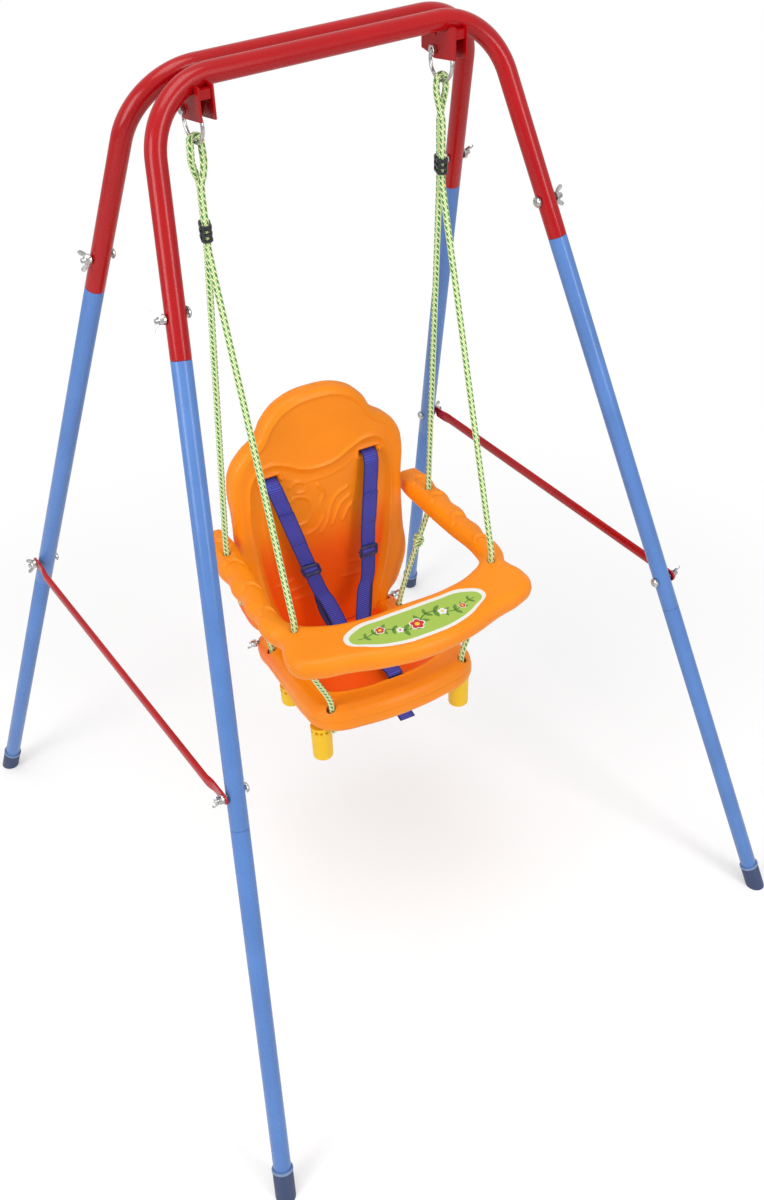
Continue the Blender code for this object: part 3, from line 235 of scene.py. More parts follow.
def arc(middle: Sequence[float], radius: float, start: float, end: float, steps: int) -> Loop:
    """Lists the points of a flat arc.

    Args:
        middle: the arc's centre.
        radius: its radius.
        start: the first angle in degrees.
        end: the last angle in degrees.
        steps: how many chords it has.

    Returns:
        One more point than there are chords.
    """
    angles = np.radians(np.linspace(start, end, steps + 1))
    return [(middle[0] + radius * math.cos(a), middle[1] + radius * math.sin(a)) for a in angles]


def line_distance(places: Array, line: Array) -> Array:
    """Measures how far flat places lie from an open line of flat points."""
    nearest = np.full(len(places), np.inf)
    for start, end in zip(line, line[1:]):
        along = end - start
        share = np.clip((places - start) @ along / max(along @ along, 1e-18), 0.0, 1.0)
        off = places - start - share[:, None] * along
        nearest = np.minimum(nearest, np.sum(off * off, axis=1))
    return np.sqrt(nearest)


def inside_distance(places: Array, loop: Array) -> Array:
    """Measures how far flat places lie inside a closed loop, where places outside it are below zero."""
    crossings = np.zeros(len(places), int)
    for start, end in zip(loop, np.roll(loop, -1, axis=0)):
        level = (start[1] > places[:, 1]) != (end[1] > places[:, 1])
        if level.any():
            share = (places[:, 1] - start[1]) / (end[1] - start[1])
            crossings += level & (places[:, 0] < start[0] + share * (end[0] - start[0]))
    return line_distance(places, np.vstack([loop, loop[:1]])) * np.where(crossings % 2 == 1, 1.0, -1.0)


def round_rings(centres: Array, side: Array, up: Array, radii: Array, sides: int) -> Array:
    """Places round rings.

    Args:
        centres: their middles, one row each.
        side: the first axis of each ring.
        up: the second axis of each ring.
        radii: one radius for each ring, or one for each point of each ring.
        sides: how many points a ring has.

    Returns:
        Points by ring, by place round the ring, by axis.
    """
    angles = turns(sides)[None, :, None]
    spokes = np.cos(angles) * side[:, None] + np.sin(angles) * up[:, None]
    return centres[:, None] + spokes * np.asarray(radii, float).reshape(len(centres), -1, 1)


def linked(name: str, data: bpy.types.ID) -> Piece:
    """Adds an object to the scene."""
    made = bpy.data.objects.new(name, data)
    bpy.context.scene.collection.objects.link(made)
    return made


def soften(data: bpy.types.Mesh, sharp: float) -> None:
    """Shades a mesh smooth, apart from edges above an angle in degrees."""
    data.shade_smooth()
    data.set_sharp_from_angle(angle=math.radians(sharp))


class Shell:
    """The points and faces of one piece, gathered from closed forms."""

    def __init__(self) -> None:
        """Starts an empty shell."""
        self.points: list[Array] = []
        self.faces: list[tuple[int, ...]] = []
        self.slots: list[int] = []
        self.corners: list[Array] = []
        self.count = 0

    def add(self, points: Array, faces: list[Sequence[int]], slot: int, corners: Array | None = None) -> None:
        """Adds one closed form.

        Args:
            points: its points, one row each.
            faces: its faces, as indices into those points.
            slot: which of the piece's finishes it has.
            corners: the surface coordinates of each face corner, or nothing.
        """
        self.points.append(points)
        self.faces += [tuple(i + self.count for i in face) for face in faces]
        self.slots += [slot] * len(faces)
        size = sum(len(face) for face in faces)
        self.corners.append(np.zeros((size, 2)) if corners is None else corners)
        self.count += len(points)

    def sweep(self, rings: Array, slot: int = 0, closed: bool = False, lengths: Array | None = None) -> None:
        """Adds a skin over rings of points.

        Args:
            rings: points by ring, by place round the ring, by axis.
            slot: which of the piece's finishes it has.
            closed: whether the last ring joins the first one, where the ends are otherwise capped.
            lengths: the distance of each ring along the piece, kept as its second surface coordinate.
        """
        rows, columns = rings.shape[:2]
        marks = np.zeros(rows) if lengths is None else lengths
        row, column = np.divmod(np.arange((rows if closed else rows - 1) * columns), columns)
        after, beyond = (row + 1) % rows, (column + 1) % columns
        places = ((row, column), (row, beyond), (after, beyond), (after, column))
        faces = np.stack([ring * columns + spoke for ring, spoke in places], axis=1).tolist()
        left, right = column / columns, (column + 1) / columns
        start, end = marks[row], marks[after]
        corners = np.stack([left, start, right, start, right, end, left, end], axis=1).reshape(-1, 2)
        if not closed:
            faces += [list(reversed(range(columns))), list(range((rows - 1) * columns, rows * columns))]
            corners = np.vstack([corners, np.zeros((2 * columns, 2))])
        self.add(rings.reshape(-1, 3), faces, slot, corners)

    def turned(
        self, start: Sequence[float], way: Sequence[float], profile: Loop, sides: int = 32, slot: int = 0,
        closed: bool = False,
    ) -> None:
        """Adds a form turned round an axis.

        Args:
            start: where the axis starts.
            way: its direction.
            profile: pairs of radius and distance along the axis.
            sides: how many faces it has round the axis.
            slot: which of the piece's finishes it has.
            closed: whether the profile closes on itself, as a ring's does.
        """
        along, side, up = axes_about(way)
        radii, distances = np.array(profile, float).T
        centres = np.asarray(start, float) + along * distances[:, None]
        shape = np.ones((len(centres), 1))
        rings = round_rings(centres, side * shape, up * shape, np.maximum(radii, 1e-6), sides)
        self.sweep(rings, slot, closed)

    def tube(self, points: Points, radii: float | Sequence[float], sides: int, slot: int = 0) -> None:
        """Adds a round rod along points, with one radius or one for each point."""
        line = Line(points)
        self.sweep(tube_rings(line, line.reach, np.broadcast_to(radii, len(line.reach)), sides), slot)

    def wire(self, centres: Array, radius: float, sides: int) -> None:
        """Adds a round wire along the points of a closed line that lies in a plane."""
        count = len(centres)
        normal = unit(np.cross(centres[count // 4] - centres[0], centres[count // 2] - centres[0]))
        way = units(np.roll(centres, -1, axis=0) - np.roll(centres, 1, axis=0))
        normals, radii = np.tile(normal, (count, 1)), np.full(count, radius)
        self.sweep(round_rings(centres, np.cross(way, normal), normals, radii, sides), closed=True)

    def plate(self, loop: Loop, low: float, high: float, place: Matrix = Matrix(), slot: int = 0) -> None:
        """Adds a flat outline drawn out from one level to another.

        Args:
            loop: the outline's flat points.
            low: the first level.
            high: the second level.
            place: how it is then moved.
            slot: which of the piece's finishes it has.
        """
        count = len(loop)
        points = np.array([[x, y, level] for level in (low, high) for x, y in loop])
        faces = [tuple(reversed(range(count))), tuple(range(count, 2 * count))]
        faces += [(i, (i + 1) % count, count + (i + 1) % count, count + i) for i in range(count)]
        self.add(moved(points, place), faces, slot)

    def made(self, name: str, *finishes: Finish, sharp: float = 40.0) -> Piece:
        """Makes the piece.

        Args:
            name: the piece's name.
            finishes: its materials, in the order of the slots.
            sharp: the angle in degrees above which an edge stays sharp.

        Returns:
            The piece, with its faces turned outward.
        """
        data = bpy.data.meshes.new(name)
        data.from_pydata(np.vstack(self.points).tolist(), [], self.faces)
        layer = data.uv_layers.new(name="UVMap")
        layer.data.foreach_set("uv", np.vstack(self.corners).astype(np.float32).ravel())
        data.polygons.foreach_set("material_index", self.slots)
        for finish in finishes:
            data.materials.append(finish)
        shape = bmesh.new()
        shape.from_mesh(data)
        bmesh.ops.recalc_face_normals(shape, faces=shape.faces[:])
        shape.to_mesh(data)
        shape.free()
        soften(data, sharp)
        return linked(name, data)


def tube_rings(line: Line, distances: Array, radii: Array, sides: int) -> Array:
    """Places round rings along a line, at distances from its start."""
    return round_rings(*line.at(distances), radii, sides)


def rod(start: Sequence[float], way: Sequence[float], radius: float, length: float, sides: int = 32) -> Piece:
    """Makes a straight round cutter."""
    shell = Shell()
    shell.turned(start, way, [(radius, 0.0), (radius, length)], sides)
    return shell.made("rod")


def slab(loop: Loop, low: float, high: float, place: Matrix = Matrix()) -> Piece:
    """Makes a cutter from a flat outline that is drawn out between two levels and moved."""
    shell = Shell()
    shell.plate(loop, low, high, place)
    return shell.made("slab")


def final_mesh(piece: Piece) -> bpy.types.Mesh:
    """Gives a piece's mesh with its modifiers applied."""
    bpy.context.view_layer.update()
    return bpy.data.meshes.new_from_object(piece.evaluated_get(bpy.context.evaluated_depsgraph_get()))


def bake(piece: Piece) -> None:
    """Makes a piece's modifiers part of its mesh."""
    old, data = piece.data, final_mesh(piece)
    piece.modifiers.clear()
    piece.data = data
    bpy.data.meshes.remove(old)


def baked(piece: Piece) -> Piece:
    """Makes a mesh object from a curve object, which is removed, under the same name."""
    name, data = piece.name, final_mesh(piece)
    bpy.data.objects.remove(piece, do_unlink=True)
    return linked(name, data)


def round_edges(piece: Piece, width: float, segments: int) -> None:
    """Rounds a piece's sharp edges."""
    edge = piece.modifiers.new("edge", "BEVEL")
    edge.width, edge.segments, edge.limit_method = width, segments, "ANGLE"


def cut_with(piece: Piece, cutters: list[Piece], sharp: float = 40.0, solver: Solver = Solver.EXACT) -> None:
    """Cuts forms from a piece and removes them.

    Args:
        piece: the piece that is cut.
        cutters: closed forms.
        sharp: the angle in degrees above which an edge stays sharp.
        solver: how they are cut.
    """
    for cutter in cutters:
        step = piece.modifiers.new("cut", "BOOLEAN")
        step.operation, step.solver, step.object = "DIFFERENCE", solver.value, cutter
    bake(piece)
    for cutter in cutters:
        bpy.data.objects.remove(cutter, do_unlink=True)
    soften(piece.data, sharp)


def settle(piece: Piece, body: str, *nodes: str) -> None:
    """Puts a finished piece on its body.

    Args:
        piece: the piece.
        body: the CAD body that it rides on.
        nodes: the CAD nodes that it stands for.
    """
    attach(piece, str(body))
    if nodes:
        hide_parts(*nodes)
    LOG.info("%s rides on %s with %d faces", piece.name, body, len(piece.data.polygons))


# Finishes


class Graph:
    """A tree of shader nodes and short ways to feed them."""

    def __init__(self, tree: bpy.types.NodeTree) -> None:
        """Takes up a tree."""
        self.tree = tree

    def feed(self, socket: Socket, value: object) -> None:
        """Links a socket to another or sets its value."""
        if isinstance(value, Socket):
            self.tree.links.new(value, socket)
        else:
            socket.default_value = value

    def node(self, kind: str, inputs: dict | None = None, **settings: object) -> bpy.types.Node:
        """Adds a node.

        Args:
            kind: its type after ShaderNode.
            inputs: what goes into its sockets, by name or place.
            settings: its own options.

        Returns:
            The node.
        """
        made = self.tree.nodes.new(f"ShaderNode{kind}")
        for option, value in settings.items():
            setattr(made, option, value)
        for socket, value in (inputs or {}).items():
            self.feed(made.inputs[socket], value)
        return made

    def math(self, operation: str, *values: object) -> Socket:
        """Adds one step of arithmetic and gives its result."""
        return self.node("Math", dict(enumerate(values)), operation=operation).outputs[0]

    def place(self, kind: str = "Object") -> Socket:
        """Gives where on the piece a point lies, in its own axes or by its surface coordinates."""
        return self.node("TexCoord").outputs[kind]

    def noise(self, scale: float, detail: float = 3.0) -> Socket:
        """Adds a cloudy pattern in the piece's own axes and gives its height."""
        inputs = {"Vector": self.place(), "Scale": scale, "Detail": detail}
        return self.node("TexNoise", inputs).outputs["Fac"]

    def ramp(self, value: Socket, low: float, high: float) -> Socket:
        """Spreads a range of values over 0 to 1, or over 1 to 0 where low is the greater."""
        start, end = (0.0, 1.0) if low < high else (1.0, 0.0)
        inputs = {"Value": value, "From Min": min(low, high), "From Max": max(low, high)}
        inputs |= {"To Min": start, "To Max": end}
        return self.node("MapRange", inputs, interpolation_type="SMOOTHSTEP").outputs[0]

    def blend(self, share: object, first: object, second: object) -> Socket:
        """Mixes two colours."""
        return self.node("Mix", {0: share, 6: first, 7: second}, data_type="RGBA").outputs[2]


class Shading(Graph):
    """One material's surface and short ways to feed it."""

    def __init__(self, name: str, **sockets: float | tuple[float, ...]) -> None:
        """Makes the material.

        Args:
            name: the material's name.
            sockets: the surface's own values, with _ for a space in the socket's name.
        """
        self.material = bpy.data.materials.new(name)
        self.material.use_nodes = True
        super().__init__(self.material.node_tree)
        self.surface = self.tree.nodes["Principled BSDF"]
        for socket, value in sockets.items():
            self.surface.inputs[socket.replace("_", " ")].default_value = value

    def colour(self, value: object) -> None:
        """Sets what the surface's colour comes from."""
        self.feed(self.surface.inputs["Base Color"], value)

    def roughness(self, value: object) -> None:
        """Sets what the surface's roughness comes from."""
        self.feed(self.surface.inputs["Roughness"], value)

    def bump(self, height: Socket, strength: float, distance: float) -> None:
        """Roughens the surface's normal by a height."""
        inputs = {"Height": height, "Strength": strength, "Distance": distance}
        self.feed(self.surface.inputs["Normal"], self.node("Bump", inputs).outputs[0])


def opaque(colour: Sequence[float], scale: float = 1.0) -> tuple[float, ...]:
    """Gives a colour with its opacity, made lighter or darker."""
    return (*[min(1.0, part * scale) for part in colour], 1.0)


@dataclass(frozen=True)
class Enamel:
    """Baked enamel on steel tube: high gloss, with a faint orange peel and a little dust."""

    name: str
    colour: tuple[float, float, float]
    gloss: float = 0.16

    def material(self) -> Finish:
        """Builds the material."""
        made = Shading(self.name, Coat_Weight=0.10, Coat_Roughness=0.10, Specular_IOR_Level=0.30)
        cloud = made.ramp(made.noise(14.0, 4.0), 0.35, 0.70)
        made.colour(made.blend(cloud, opaque(self.colour, 0.94), opaque(self.colour, 1.05)))
        specks = made.ramp(made.noise(420.0, 2.0), 0.62, 0.75)
        made.roughness(made.math("ADD", made.math("MULTIPLY", specks, 0.14), self.gloss))
        made.bump(made.noise(650.0, 1.5), 0.05, 0.0002)
        return made.material


@dataclass(frozen=True)
class PlatedSteel:
    """Bright zinc plate with fine scuffs."""

    name: str = "plated_steel"
    colour: tuple[float, float, float] = (0.64, 0.64, 0.63)

    def material(self) -> Finish:
        """Builds the material."""
        made = Shading(self.name, Metallic=1.0)
        cloud = made.ramp(made.noise(190.0, 4.0), 0.35, 0.70)
        made.colour(made.blend(cloud, opaque(self.colour, 0.72), opaque(self.colour, 1.08)))
        made.roughness(made.math("MULTIPLY_ADD", cloud, 0.16, 0.15))
        made.bump(made.noise(1400.0, 2.0), 0.12, 0.0001)
        return made.material


@dataclass(frozen=True)
class Fade:
    """A painted shade: a change toward the shade colour along one direction of the piece's own axes, from
    start to end.
    """

    way: tuple[float, float, float]
    start: float
    end: float


@dataclass(frozen=True)
class MouldedPlastic:
    """Thick moulded plastic: a soft gloss, faint flow marks, a fine grain, and in hollows a deeper
    red-orange, a painted shade.
    """

    name: str
    colour: tuple[float, float, float]
    gloss: float = 0.34
    glow: float = 0.0
    grain: float = 0.10
    shine: float = 0.45
    # The colour of the painted shade in hollows, a deep red-orange.
    shade_colour: tuple[float, float, float] = (0.94, 0.112, 0.003)
    shade_fades: tuple[Fade, ...] = ()

    def material(self) -> Finish:
        """Builds the material."""
        made = Shading(
            self.name,
            Specular_IOR_Level=self.shine,
            Subsurface_Weight=self.glow,
            Subsurface_Scale=0.006,
            Subsurface_Radius=(1.0, 0.45, 0.12),
        )
        flow = made.ramp(made.noise(9.0, 5.0), 0.30, 0.72)
        tone = made.blend(flow, opaque(self.colour, 0.95), opaque(self.colour, 1.04))
        # Painted shade: the colour is mixed toward the deep red-orange along the fades, for the shade and
        # orange bounce light in the seat's hollows.
        if self.shade_fades:
            share, where = 1.0, made.place()
            for shade_fade in self.shade_fades:
                dot = made.node("VectorMath", {0: where, 1: shade_fade.way}, operation="DOT_PRODUCT")
                along = dot.outputs["Value"]
                share = made.math("MULTIPLY", share, made.ramp(along, shade_fade.start, shade_fade.end))
            tone = made.blend(share, tone, opaque(self.shade_colour))
        made.colour(tone)
        scuff = made.ramp(made.noise(75.0, 5.0), 0.45, 0.75)
        made.roughness(made.math("MULTIPLY_ADD", scuff, 0.10, self.gloss))
        made.bump(made.noise(900.0, 3.0), self.grain, 0.0002)
        return made.material


@dataclass(frozen=True)
class BraidedYarn:
    """Green braided cord with tracer yarns and fuzz, laid by the piece's surface coordinates, with a painted
    highlight on each strand's crown and painted shade in the grooves.
    """

    name: str = "braided_yarn"
    # Pale is the cord's light yarn colour, laid as a painted highlight on each strand's crown; green is its
    # darker yarn colour, laid as painted shade in the grooves.
    pale: tuple[float, float, float] = (0.80, 0.88, 0.50)
    green: tuple[float, float, float] = (0.23, 0.50, 0.09)
    tracer: tuple[float, float, float] = (0.022, 0.105, 0.022)
    columns: int = 8
    pitch: float = 0.0036

    def material(self) -> Finish:
        """Builds the material."""
        made = Shading(self.name, Specular_IOR_Level=0.3, Sheen_Weight=0.25, Sheen_Roughness=0.5)
        place = made.node("SeparateXYZ", {0: made.place("UV")})
        across = made.math("MULTIPLY", place.outputs["X"], float(self.columns))
        along = made.math("DIVIDE", place.outputs["Y"], self.pitch)
        turn = made.math("MULTIPLY_ADD", made.math("MODULO", made.math("FLOOR", across), 2.0), -2.0, 1.0)
        strand = made.math("MULTIPLY_ADD", along, turn, across)
        within = made.math("FRACT", strand)
        edge = made.math("ABSOLUTE", made.math("MULTIPLY_ADD", within, 2.0, -1.0))
        # Painted highlight and shade: each strand is pale on its crown and green in the grooves between
        # strands, and the tracer yarns are lighter on the crown.
        shade = made.ramp(edge, 0.40, 0.95)
        number = made.math("FLOORED_MODULO", made.math("FLOOR", strand), 2.0)
        dark = made.math("COMPARE", number, 1.0, 0.5)
        columns = made.math("COMPARE", turn, 1.0, 0.5)
        base = made.blend(shade, opaque(self.pale), opaque(self.green))
        tracer_lit_and_shaded = made.blend(shade, opaque(self.tracer, 2.2), opaque(self.tracer))
        made.colour(made.blend(made.math("MULTIPLY", dark, columns), base, tracer_lit_and_shaded))
        made.roughness(made.math("MULTIPLY_ADD", shade, 0.15, 0.68))
        yarn = made.math("SINE", made.math("MULTIPLY", strand, 31.4))
        made.bump(made.math("ADD", yarn, made.noise(2600.0, 2.0)), 0.25, 0.0001)
        return made.material


@dataclass(frozen=True)
class WovenWebbing:
    """Polypropylene webbing with crosswise ribs, laid by the piece's surface coordinates, with painted light
    and shade on the ribs and painted shade along both edges.
    """

    name: str = "woven_webbing"
    colour: tuple[float, float, float] = (0.036, 0.040, 0.330)
    rib: float = 0.0030
    ends: float = 34.0
    # How dark the painted shade along both edges is, as a share of the colour.
    edge_shade: float = 0.30

    def material(self) -> Finish:
        """Builds the material."""
        made = Shading(self.name, Specular_IOR_Level=0.4, Sheen_Weight=0.15, Sheen_Roughness=0.4)
        place = made.node("SeparateXYZ", {0: made.place("UV")})
        rib = made.math("SINE", made.math("MULTIPLY", place.outputs["Y"], math.tau / self.rib))
        end = made.math("SINE", made.math("MULTIPLY", place.outputs["X"], math.tau * self.ends))
        weave = made.math("MULTIPLY", rib, end)
        # Painted light and shade: each rib's crest is lighter and its trough darker.
        lit = made.ramp(made.math("ADD", rib, made.math("MULTIPLY", weave, 0.5)), -1.2, 1.2)
        tone = made.blend(lit, opaque(self.colour, 0.32), opaque(self.colour, 1.80))
        # Painted shade: both edges, where the strap turns away from the light, are darker.
        round_it = made.math("COSINE", made.math("MULTIPLY", place.outputs["X"], math.tau))
        edge = made.ramp(made.math("ABSOLUTE", round_it), 0.42, 0.74)
        made.colour(made.blend(edge, tone, opaque(self.colour, self.edge_shade)))
        made.roughness(made.math("MULTIPLY_ADD", made.noise(500.0, 2.0), 0.2, 0.45))
        made.bump(made.math("ADD", weave, made.noise(1800.0, 2.0)), 0.40, 0.0004)
        return made.material


@dataclass(frozen=True)
class PrintedFilm:
    """One ink of the printed film: satin, with the print's faint dots."""

    name: str
    colour: tuple[float, float, float]

    def material(self) -> Finish:
        """Builds the material."""
        made = Shading(self.name, Coat_Weight=0.2, Coat_Roughness=0.15, Specular_IOR_Level=0.35)
        dots = made.node("TexVoronoi", {"Vector": made.place(), "Scale": 1300.0})
        shade = made.ramp(dots.outputs["Distance"], 0.2, 0.6)
        made.colour(made.blend(shade, opaque(self.colour), opaque(self.colour, 0.90)))
        made.roughness(made.math("MULTIPLY_ADD", made.noise(60.0, 3.0), 0.12, 0.28))
        return made.material


class Finishes:
    """Every finish of the swing set, each built once."""

    def __init__(self) -> None:
        """Builds the materials."""
        self.red = Enamel("red_enamel", (0.40, 0.0015, 0.004), gloss=0.24).material()
        self.blue = Enamel("blue_enamel", (0.092, 0.208, 0.510), gloss=0.24).material()
        self.steel = PlatedSteel().material()
        orange, seat = (0.92, 0.262, 0.004), SeatPlan()
        turn, tilt = seat.turn, seat.base_tilt
        back = (-math.sin(turn), math.cos(turn), 0.0)
        down = (math.sin(turn) * math.sin(tilt), -math.cos(turn) * math.sin(tilt), -math.cos(tilt))
        # Painted shade: the backrest's sunk panel turns redder toward its bottom, and the base's pan turns
        # redder inside its rim, for the shade and orange bounce light in these hollows.
        panel = (Fade(back, 0.0730, 0.0785), Fade(back, 0.090, 0.086), Fade((0.0, 0.0, 1.0), 0.575, 0.470))
        lip = -seat.base_front_y * math.sin(tilt) - seat.base_front_top * math.cos(tilt)
        across = (math.cos(turn), math.sin(turn), 0.0)
        pan = (Fade(down, lip + 0.0012, lip + 0.0090), Fade(down, lip + 0.030, lip + 0.022))
        pan += (Fade(across, -0.121, -0.106), Fade(across, 0.121, 0.106), Fade(back, -0.134, -0.120))
        plain = {"glow": 0.06, "shine": 0.30, "gloss": 0.38}
        self.orange = MouldedPlastic("orange_plastic", orange, **plain).material()
        self.back_orange_painted_shade = MouldedPlastic("back_plastic_painted_shade", orange, shade_fades=panel, **plain).material()
        self.base_orange_painted_shade = MouldedPlastic("base_plastic_painted_shade", orange, shade_fades=pan, **plain).material()
        self.yellow = MouldedPlastic("yellow_plastic", (0.88, 0.53, 0.012), **plain).material()
        self.black = MouldedPlastic("black_plastic", (0.016, 0.017, 0.022), gloss=0.30).material()
        self.navy = MouldedPlastic("navy_plastic", (0.014, 0.016, 0.085), gloss=0.24).material()
        self.cap = MouldedPlastic("cap_plastic", (0.035, 0.055, 0.130), gloss=0.42, grain=0.2).material()
        self.cap_ring = MouldedPlastic("cap_ring_plastic", (0.17, 0.25, 0.42), gloss=0.40).material()
        self.rope = BraidedYarn().material()
        self.webbing = WovenWebbing().material()
        # The slack webbing is a darker copy of the webbing, a painted shade for the strap that lies in shadow
        # behind the lower run.
        self.slack = WovenWebbing("slack_webbing_painted_shade", (0.016, 0.016, 0.120)).material()
        self.thread = WovenWebbing("sewing_thread", (0.05, 0.05, 0.40), rib=0.0008, ends=4.0).material()
        inks = {
            Ink.WHITE: (0.86, 0.86, 0.80),
            Ink.GREEN: (0.385, 0.560, 0.080),
            Ink.LEAF: (0.115, 0.265, 0.030),
            Ink.RED: (0.62, 0.020, 0.018),
            Ink.YELLOW: (0.88, 0.60, 0.04),
        }
        self.film = [PrintedFilm(f"film_{ink.name.lower()}", inks[ink]).material() for ink in Ink]


# The studio

WHITE = (1.0, 1.0, 1.0, 1.0)


@dataclass(frozen=True)
class Studio:
    """The camera, the lights and the floor."""

    place: tuple[float, float, float] = (-0.7197, -1.1805, 1.5796)
    azimuth: float = -33.20
    elevation: float = 39.19
    roll: float = -1.87
    lens: float = 38.76
    sensor: float = 36.0
    ambient: float = 0.55
    target: tuple[float, float, float] = (0.0, 0.0, 0.65)
    floor_half: float = 30.0

    def camera(self) -> None:
        """Sets the camera where the photograph was taken from."""
        turn, tip, roll = (math.radians(a) for a in (self.azimuth, self.elevation, self.roll))
        forward = Vector((-math.sin(turn) * math.cos(tip), math.cos(turn) * math.cos(tip), -math.sin(tip)))
        right = Vector((math.cos(turn), math.sin(turn), 0.0))
        up = right.cross(forward)
        across = right * math.cos(roll) + up * math.sin(roll)
        above = up * math.cos(roll) - right * math.sin(roll)
        data = bpy.data.cameras.new("photograph")
        data.lens, data.sensor_width = self.lens, self.sensor
        camera = linked("photograph", data)
        lie = Matrix((across, above, -forward)).transposed().to_4x4()
        camera.matrix_world = Matrix.Translation(self.place) @ lie
        bpy.context.scene.camera = camera

    def softbox(self, name: str, place: Sequence[float], size: tuple[float, float], power: float) -> None:
        """Adds a soft rectangular lamp that faces the seat.

        Args:
            name: the lamp's name.
            place: where it stands.
            size: its width and height.
            power: its strength in watts.
        """
        data = bpy.data.lights.new(name, "AREA")
        data.shape = "RECTANGLE"
        data.size, data.size_y = size
        data.energy = power
        lamp = linked(name, data)
        lamp.location = place
        lamp.rotation_euler = (Vector(self.target) - Vector(place)).to_track_quat("-Z", "Y").to_euler()

    def lights(self) -> None:
        """Adds even light all round, with a pale background where the camera or a reflection sees it."""
        world = bpy.data.worlds.new("studio")
        bpy.context.scene.world = world
        world.use_nodes = True
        made = Graph(world.node_tree)
        even = made.tree.nodes["Background"]
        made.feed(even.inputs["Color"], WHITE)
        made.feed(even.inputs["Strength"], self.ambient)
        pale = made.node("Background", {"Strength": 1.0})
        path = made.node("LightPath").outputs
        seen = path["Is Camera Ray"]
        for ray in ("Is Glossy Ray", "Is Transmission Ray"):
            seen = made.math("MAXIMUM", seen, path[ray])
        choice = made.node("MixShader", {0: seen, 1: even.outputs[0], 2: pale.outputs[0]})
        made.feed(made.tree.nodes["World Output"].inputs[0], choice.outputs[0])
        self.softbox("left_softbox", (-2.9, -0.6, 1.9), (1.3, 2.2), 45.0)
        self.softbox("right_softbox", (0.7, -3.0, 1.9), (0.8, 2.2), 36.0)
        self.softbox("top_softbox", (-0.4, -0.3, 3.4), (1.6, 1.6), 30.0)

    def floor(self) -> None:
        """Lays the pale floor, which looks white and keeps the shadow."""
        made = Shading("floor_paper", Roughness=0.9, Specular_IOR_Level=0.1)
        seen = made.node("LightPath").outputs["Is Camera Ray"]
        tone = made.blend(made.noise(0.6, 2.0), (0.80, 0.80, 0.80, 1.0), (0.82, 0.82, 0.82, 1.0))
        made.colour(made.blend(seen, tone, WHITE))
        away = made.node("VectorMath", {0: made.node("NewGeometry").outputs["Position"]}, operation="LENGTH")
        clear = made.math("MULTIPLY_ADD", made.ramp(away.outputs["Value"], 0.55, 1.25), 0.72, 0.28)
        white = made.node("Emission", {"Color": WHITE, "Strength": 1.0})
        share = made.math("MULTIPLY", seen, clear)
        mixed = made.node("MixShader", {0: share, 1: made.surface.outputs[0], 2: white.outputs[0]})
        made.feed(made.tree.nodes["Material Output"].inputs["Surface"], mixed.outputs[0])
        data = bpy.data.meshes.new("floor")
        half = self.floor_half
        corners = [(-half, -half, 0), (half, -half, 0), (half, half, 0), (-half, half, 0)]
        data.from_pydata(corners, [], [(0, 1, 2, 3)])
        data.materials.append(made.material)
        linked("floor", data)

    def build(self) -> None:
        """Sets up the whole studio."""
        bpy.context.scene.view_settings.view_transform = "Standard"
        self.camera()
        self.lights()
        self.floor()


# The frame


@dataclass(frozen=True)
class FramePlan:
    """The frame's leading sizes, as in the part's source."""

    top_height: float = 1.190
    bar_spacing: float = 0.0316
    corner_width: float = 0.408
    foot_width: float = 0.827
    foot_depth: float = 0.902
    tube: float = 0.0111
    wall: float = 0.0012
    bend: float = 0.080
    red_leg: float = 0.257
    upper_leg: float = 0.522
    spigot: float = 0.075
    bolt_above_seam: float = 0.044
    cap_floor: float = 0.005
    pivot_drop: float = 0.034
    bracket_x: float = 0.153

    @property
    def seam(self) -> float:
        """The distance of the lower leg joint down the leg."""
        return self.red_leg + self.upper_leg

    @property
    def joint_bolt(self) -> float:
        """The distance of the joint bolt down the leg."""
        return self.red_leg - self.bolt_above_seam

    @property
    def brace_bolt(self) -> float:
        """The distance of the brace bolt down the leg."""
        return self.seam - self.bolt_above_seam

    @property
    def pivot_z(self) -> float:
        """The height of the fold pivot."""
        return self.top_height - self.pivot_drop

    def corner(self, side: int, row: int) -> Array:
        """Gives where the lines of a top bar and of its leg meet."""
        return np.array([side * self.corner_width / 2, row * self.bar_spacing / 2, self.top_height])

    def foot(self, side: int, row: int) -> Array:
        """Gives where a leg's line meets the floor."""
        return np.array([side * self.foot_width / 2, row * self.foot_depth / 2, 0.0])

    def leg_way(self, side: int, row: int) -> Array:
        """Gives the direction down a leg."""
        return unit(self.foot(side, row) - self.corner(side, row))

    def leg_length(self, side: int, row: int) -> float:
        """Measures a leg's line from the corner to the floor."""
        return float(np.linalg.norm(self.foot(side, row) - self.corner(side, row)))

    def on_leg(self, side: int, row: int, distance: float) -> Array:
        """Gives a place down a leg's line."""
        return self.corner(side, row) + self.leg_way(side, row) * distance

    def rail(self, row: int, steps: int = 36) -> Array:
        """Draws the centre line of a top bar with its two bends and the start of both legs."""
        points: list[Array] = []
        for side in SIDES:
            along, down = X_AXIS * side, self.leg_way(side, row)
            turn = math.acos(float(along @ down))
            middle = self.corner(side, row) + unit(down - along) * self.bend / math.cos(turn / 2)
            start = Vector(self.corner(side, row) - along * self.bend * math.tan(turn / 2) - middle)
            axis = Vector(np.cross(along, down)).normalized()
            half = [
                middle + np.array(Matrix.Rotation(turn * i / steps, 3, axis) @ start)
                for i in range(steps + 1)
            ]
            half.append(self.on_leg(side, row, self.red_leg - GAP / 2))
            points = half[::-1] if side < 0 else points + half
        return np.array(points)

    @property
    def lean(self) -> float:
        """How far a leg leans sideways for each unit of its length."""
        return abs(float(self.leg_way(1, 1)[0]))


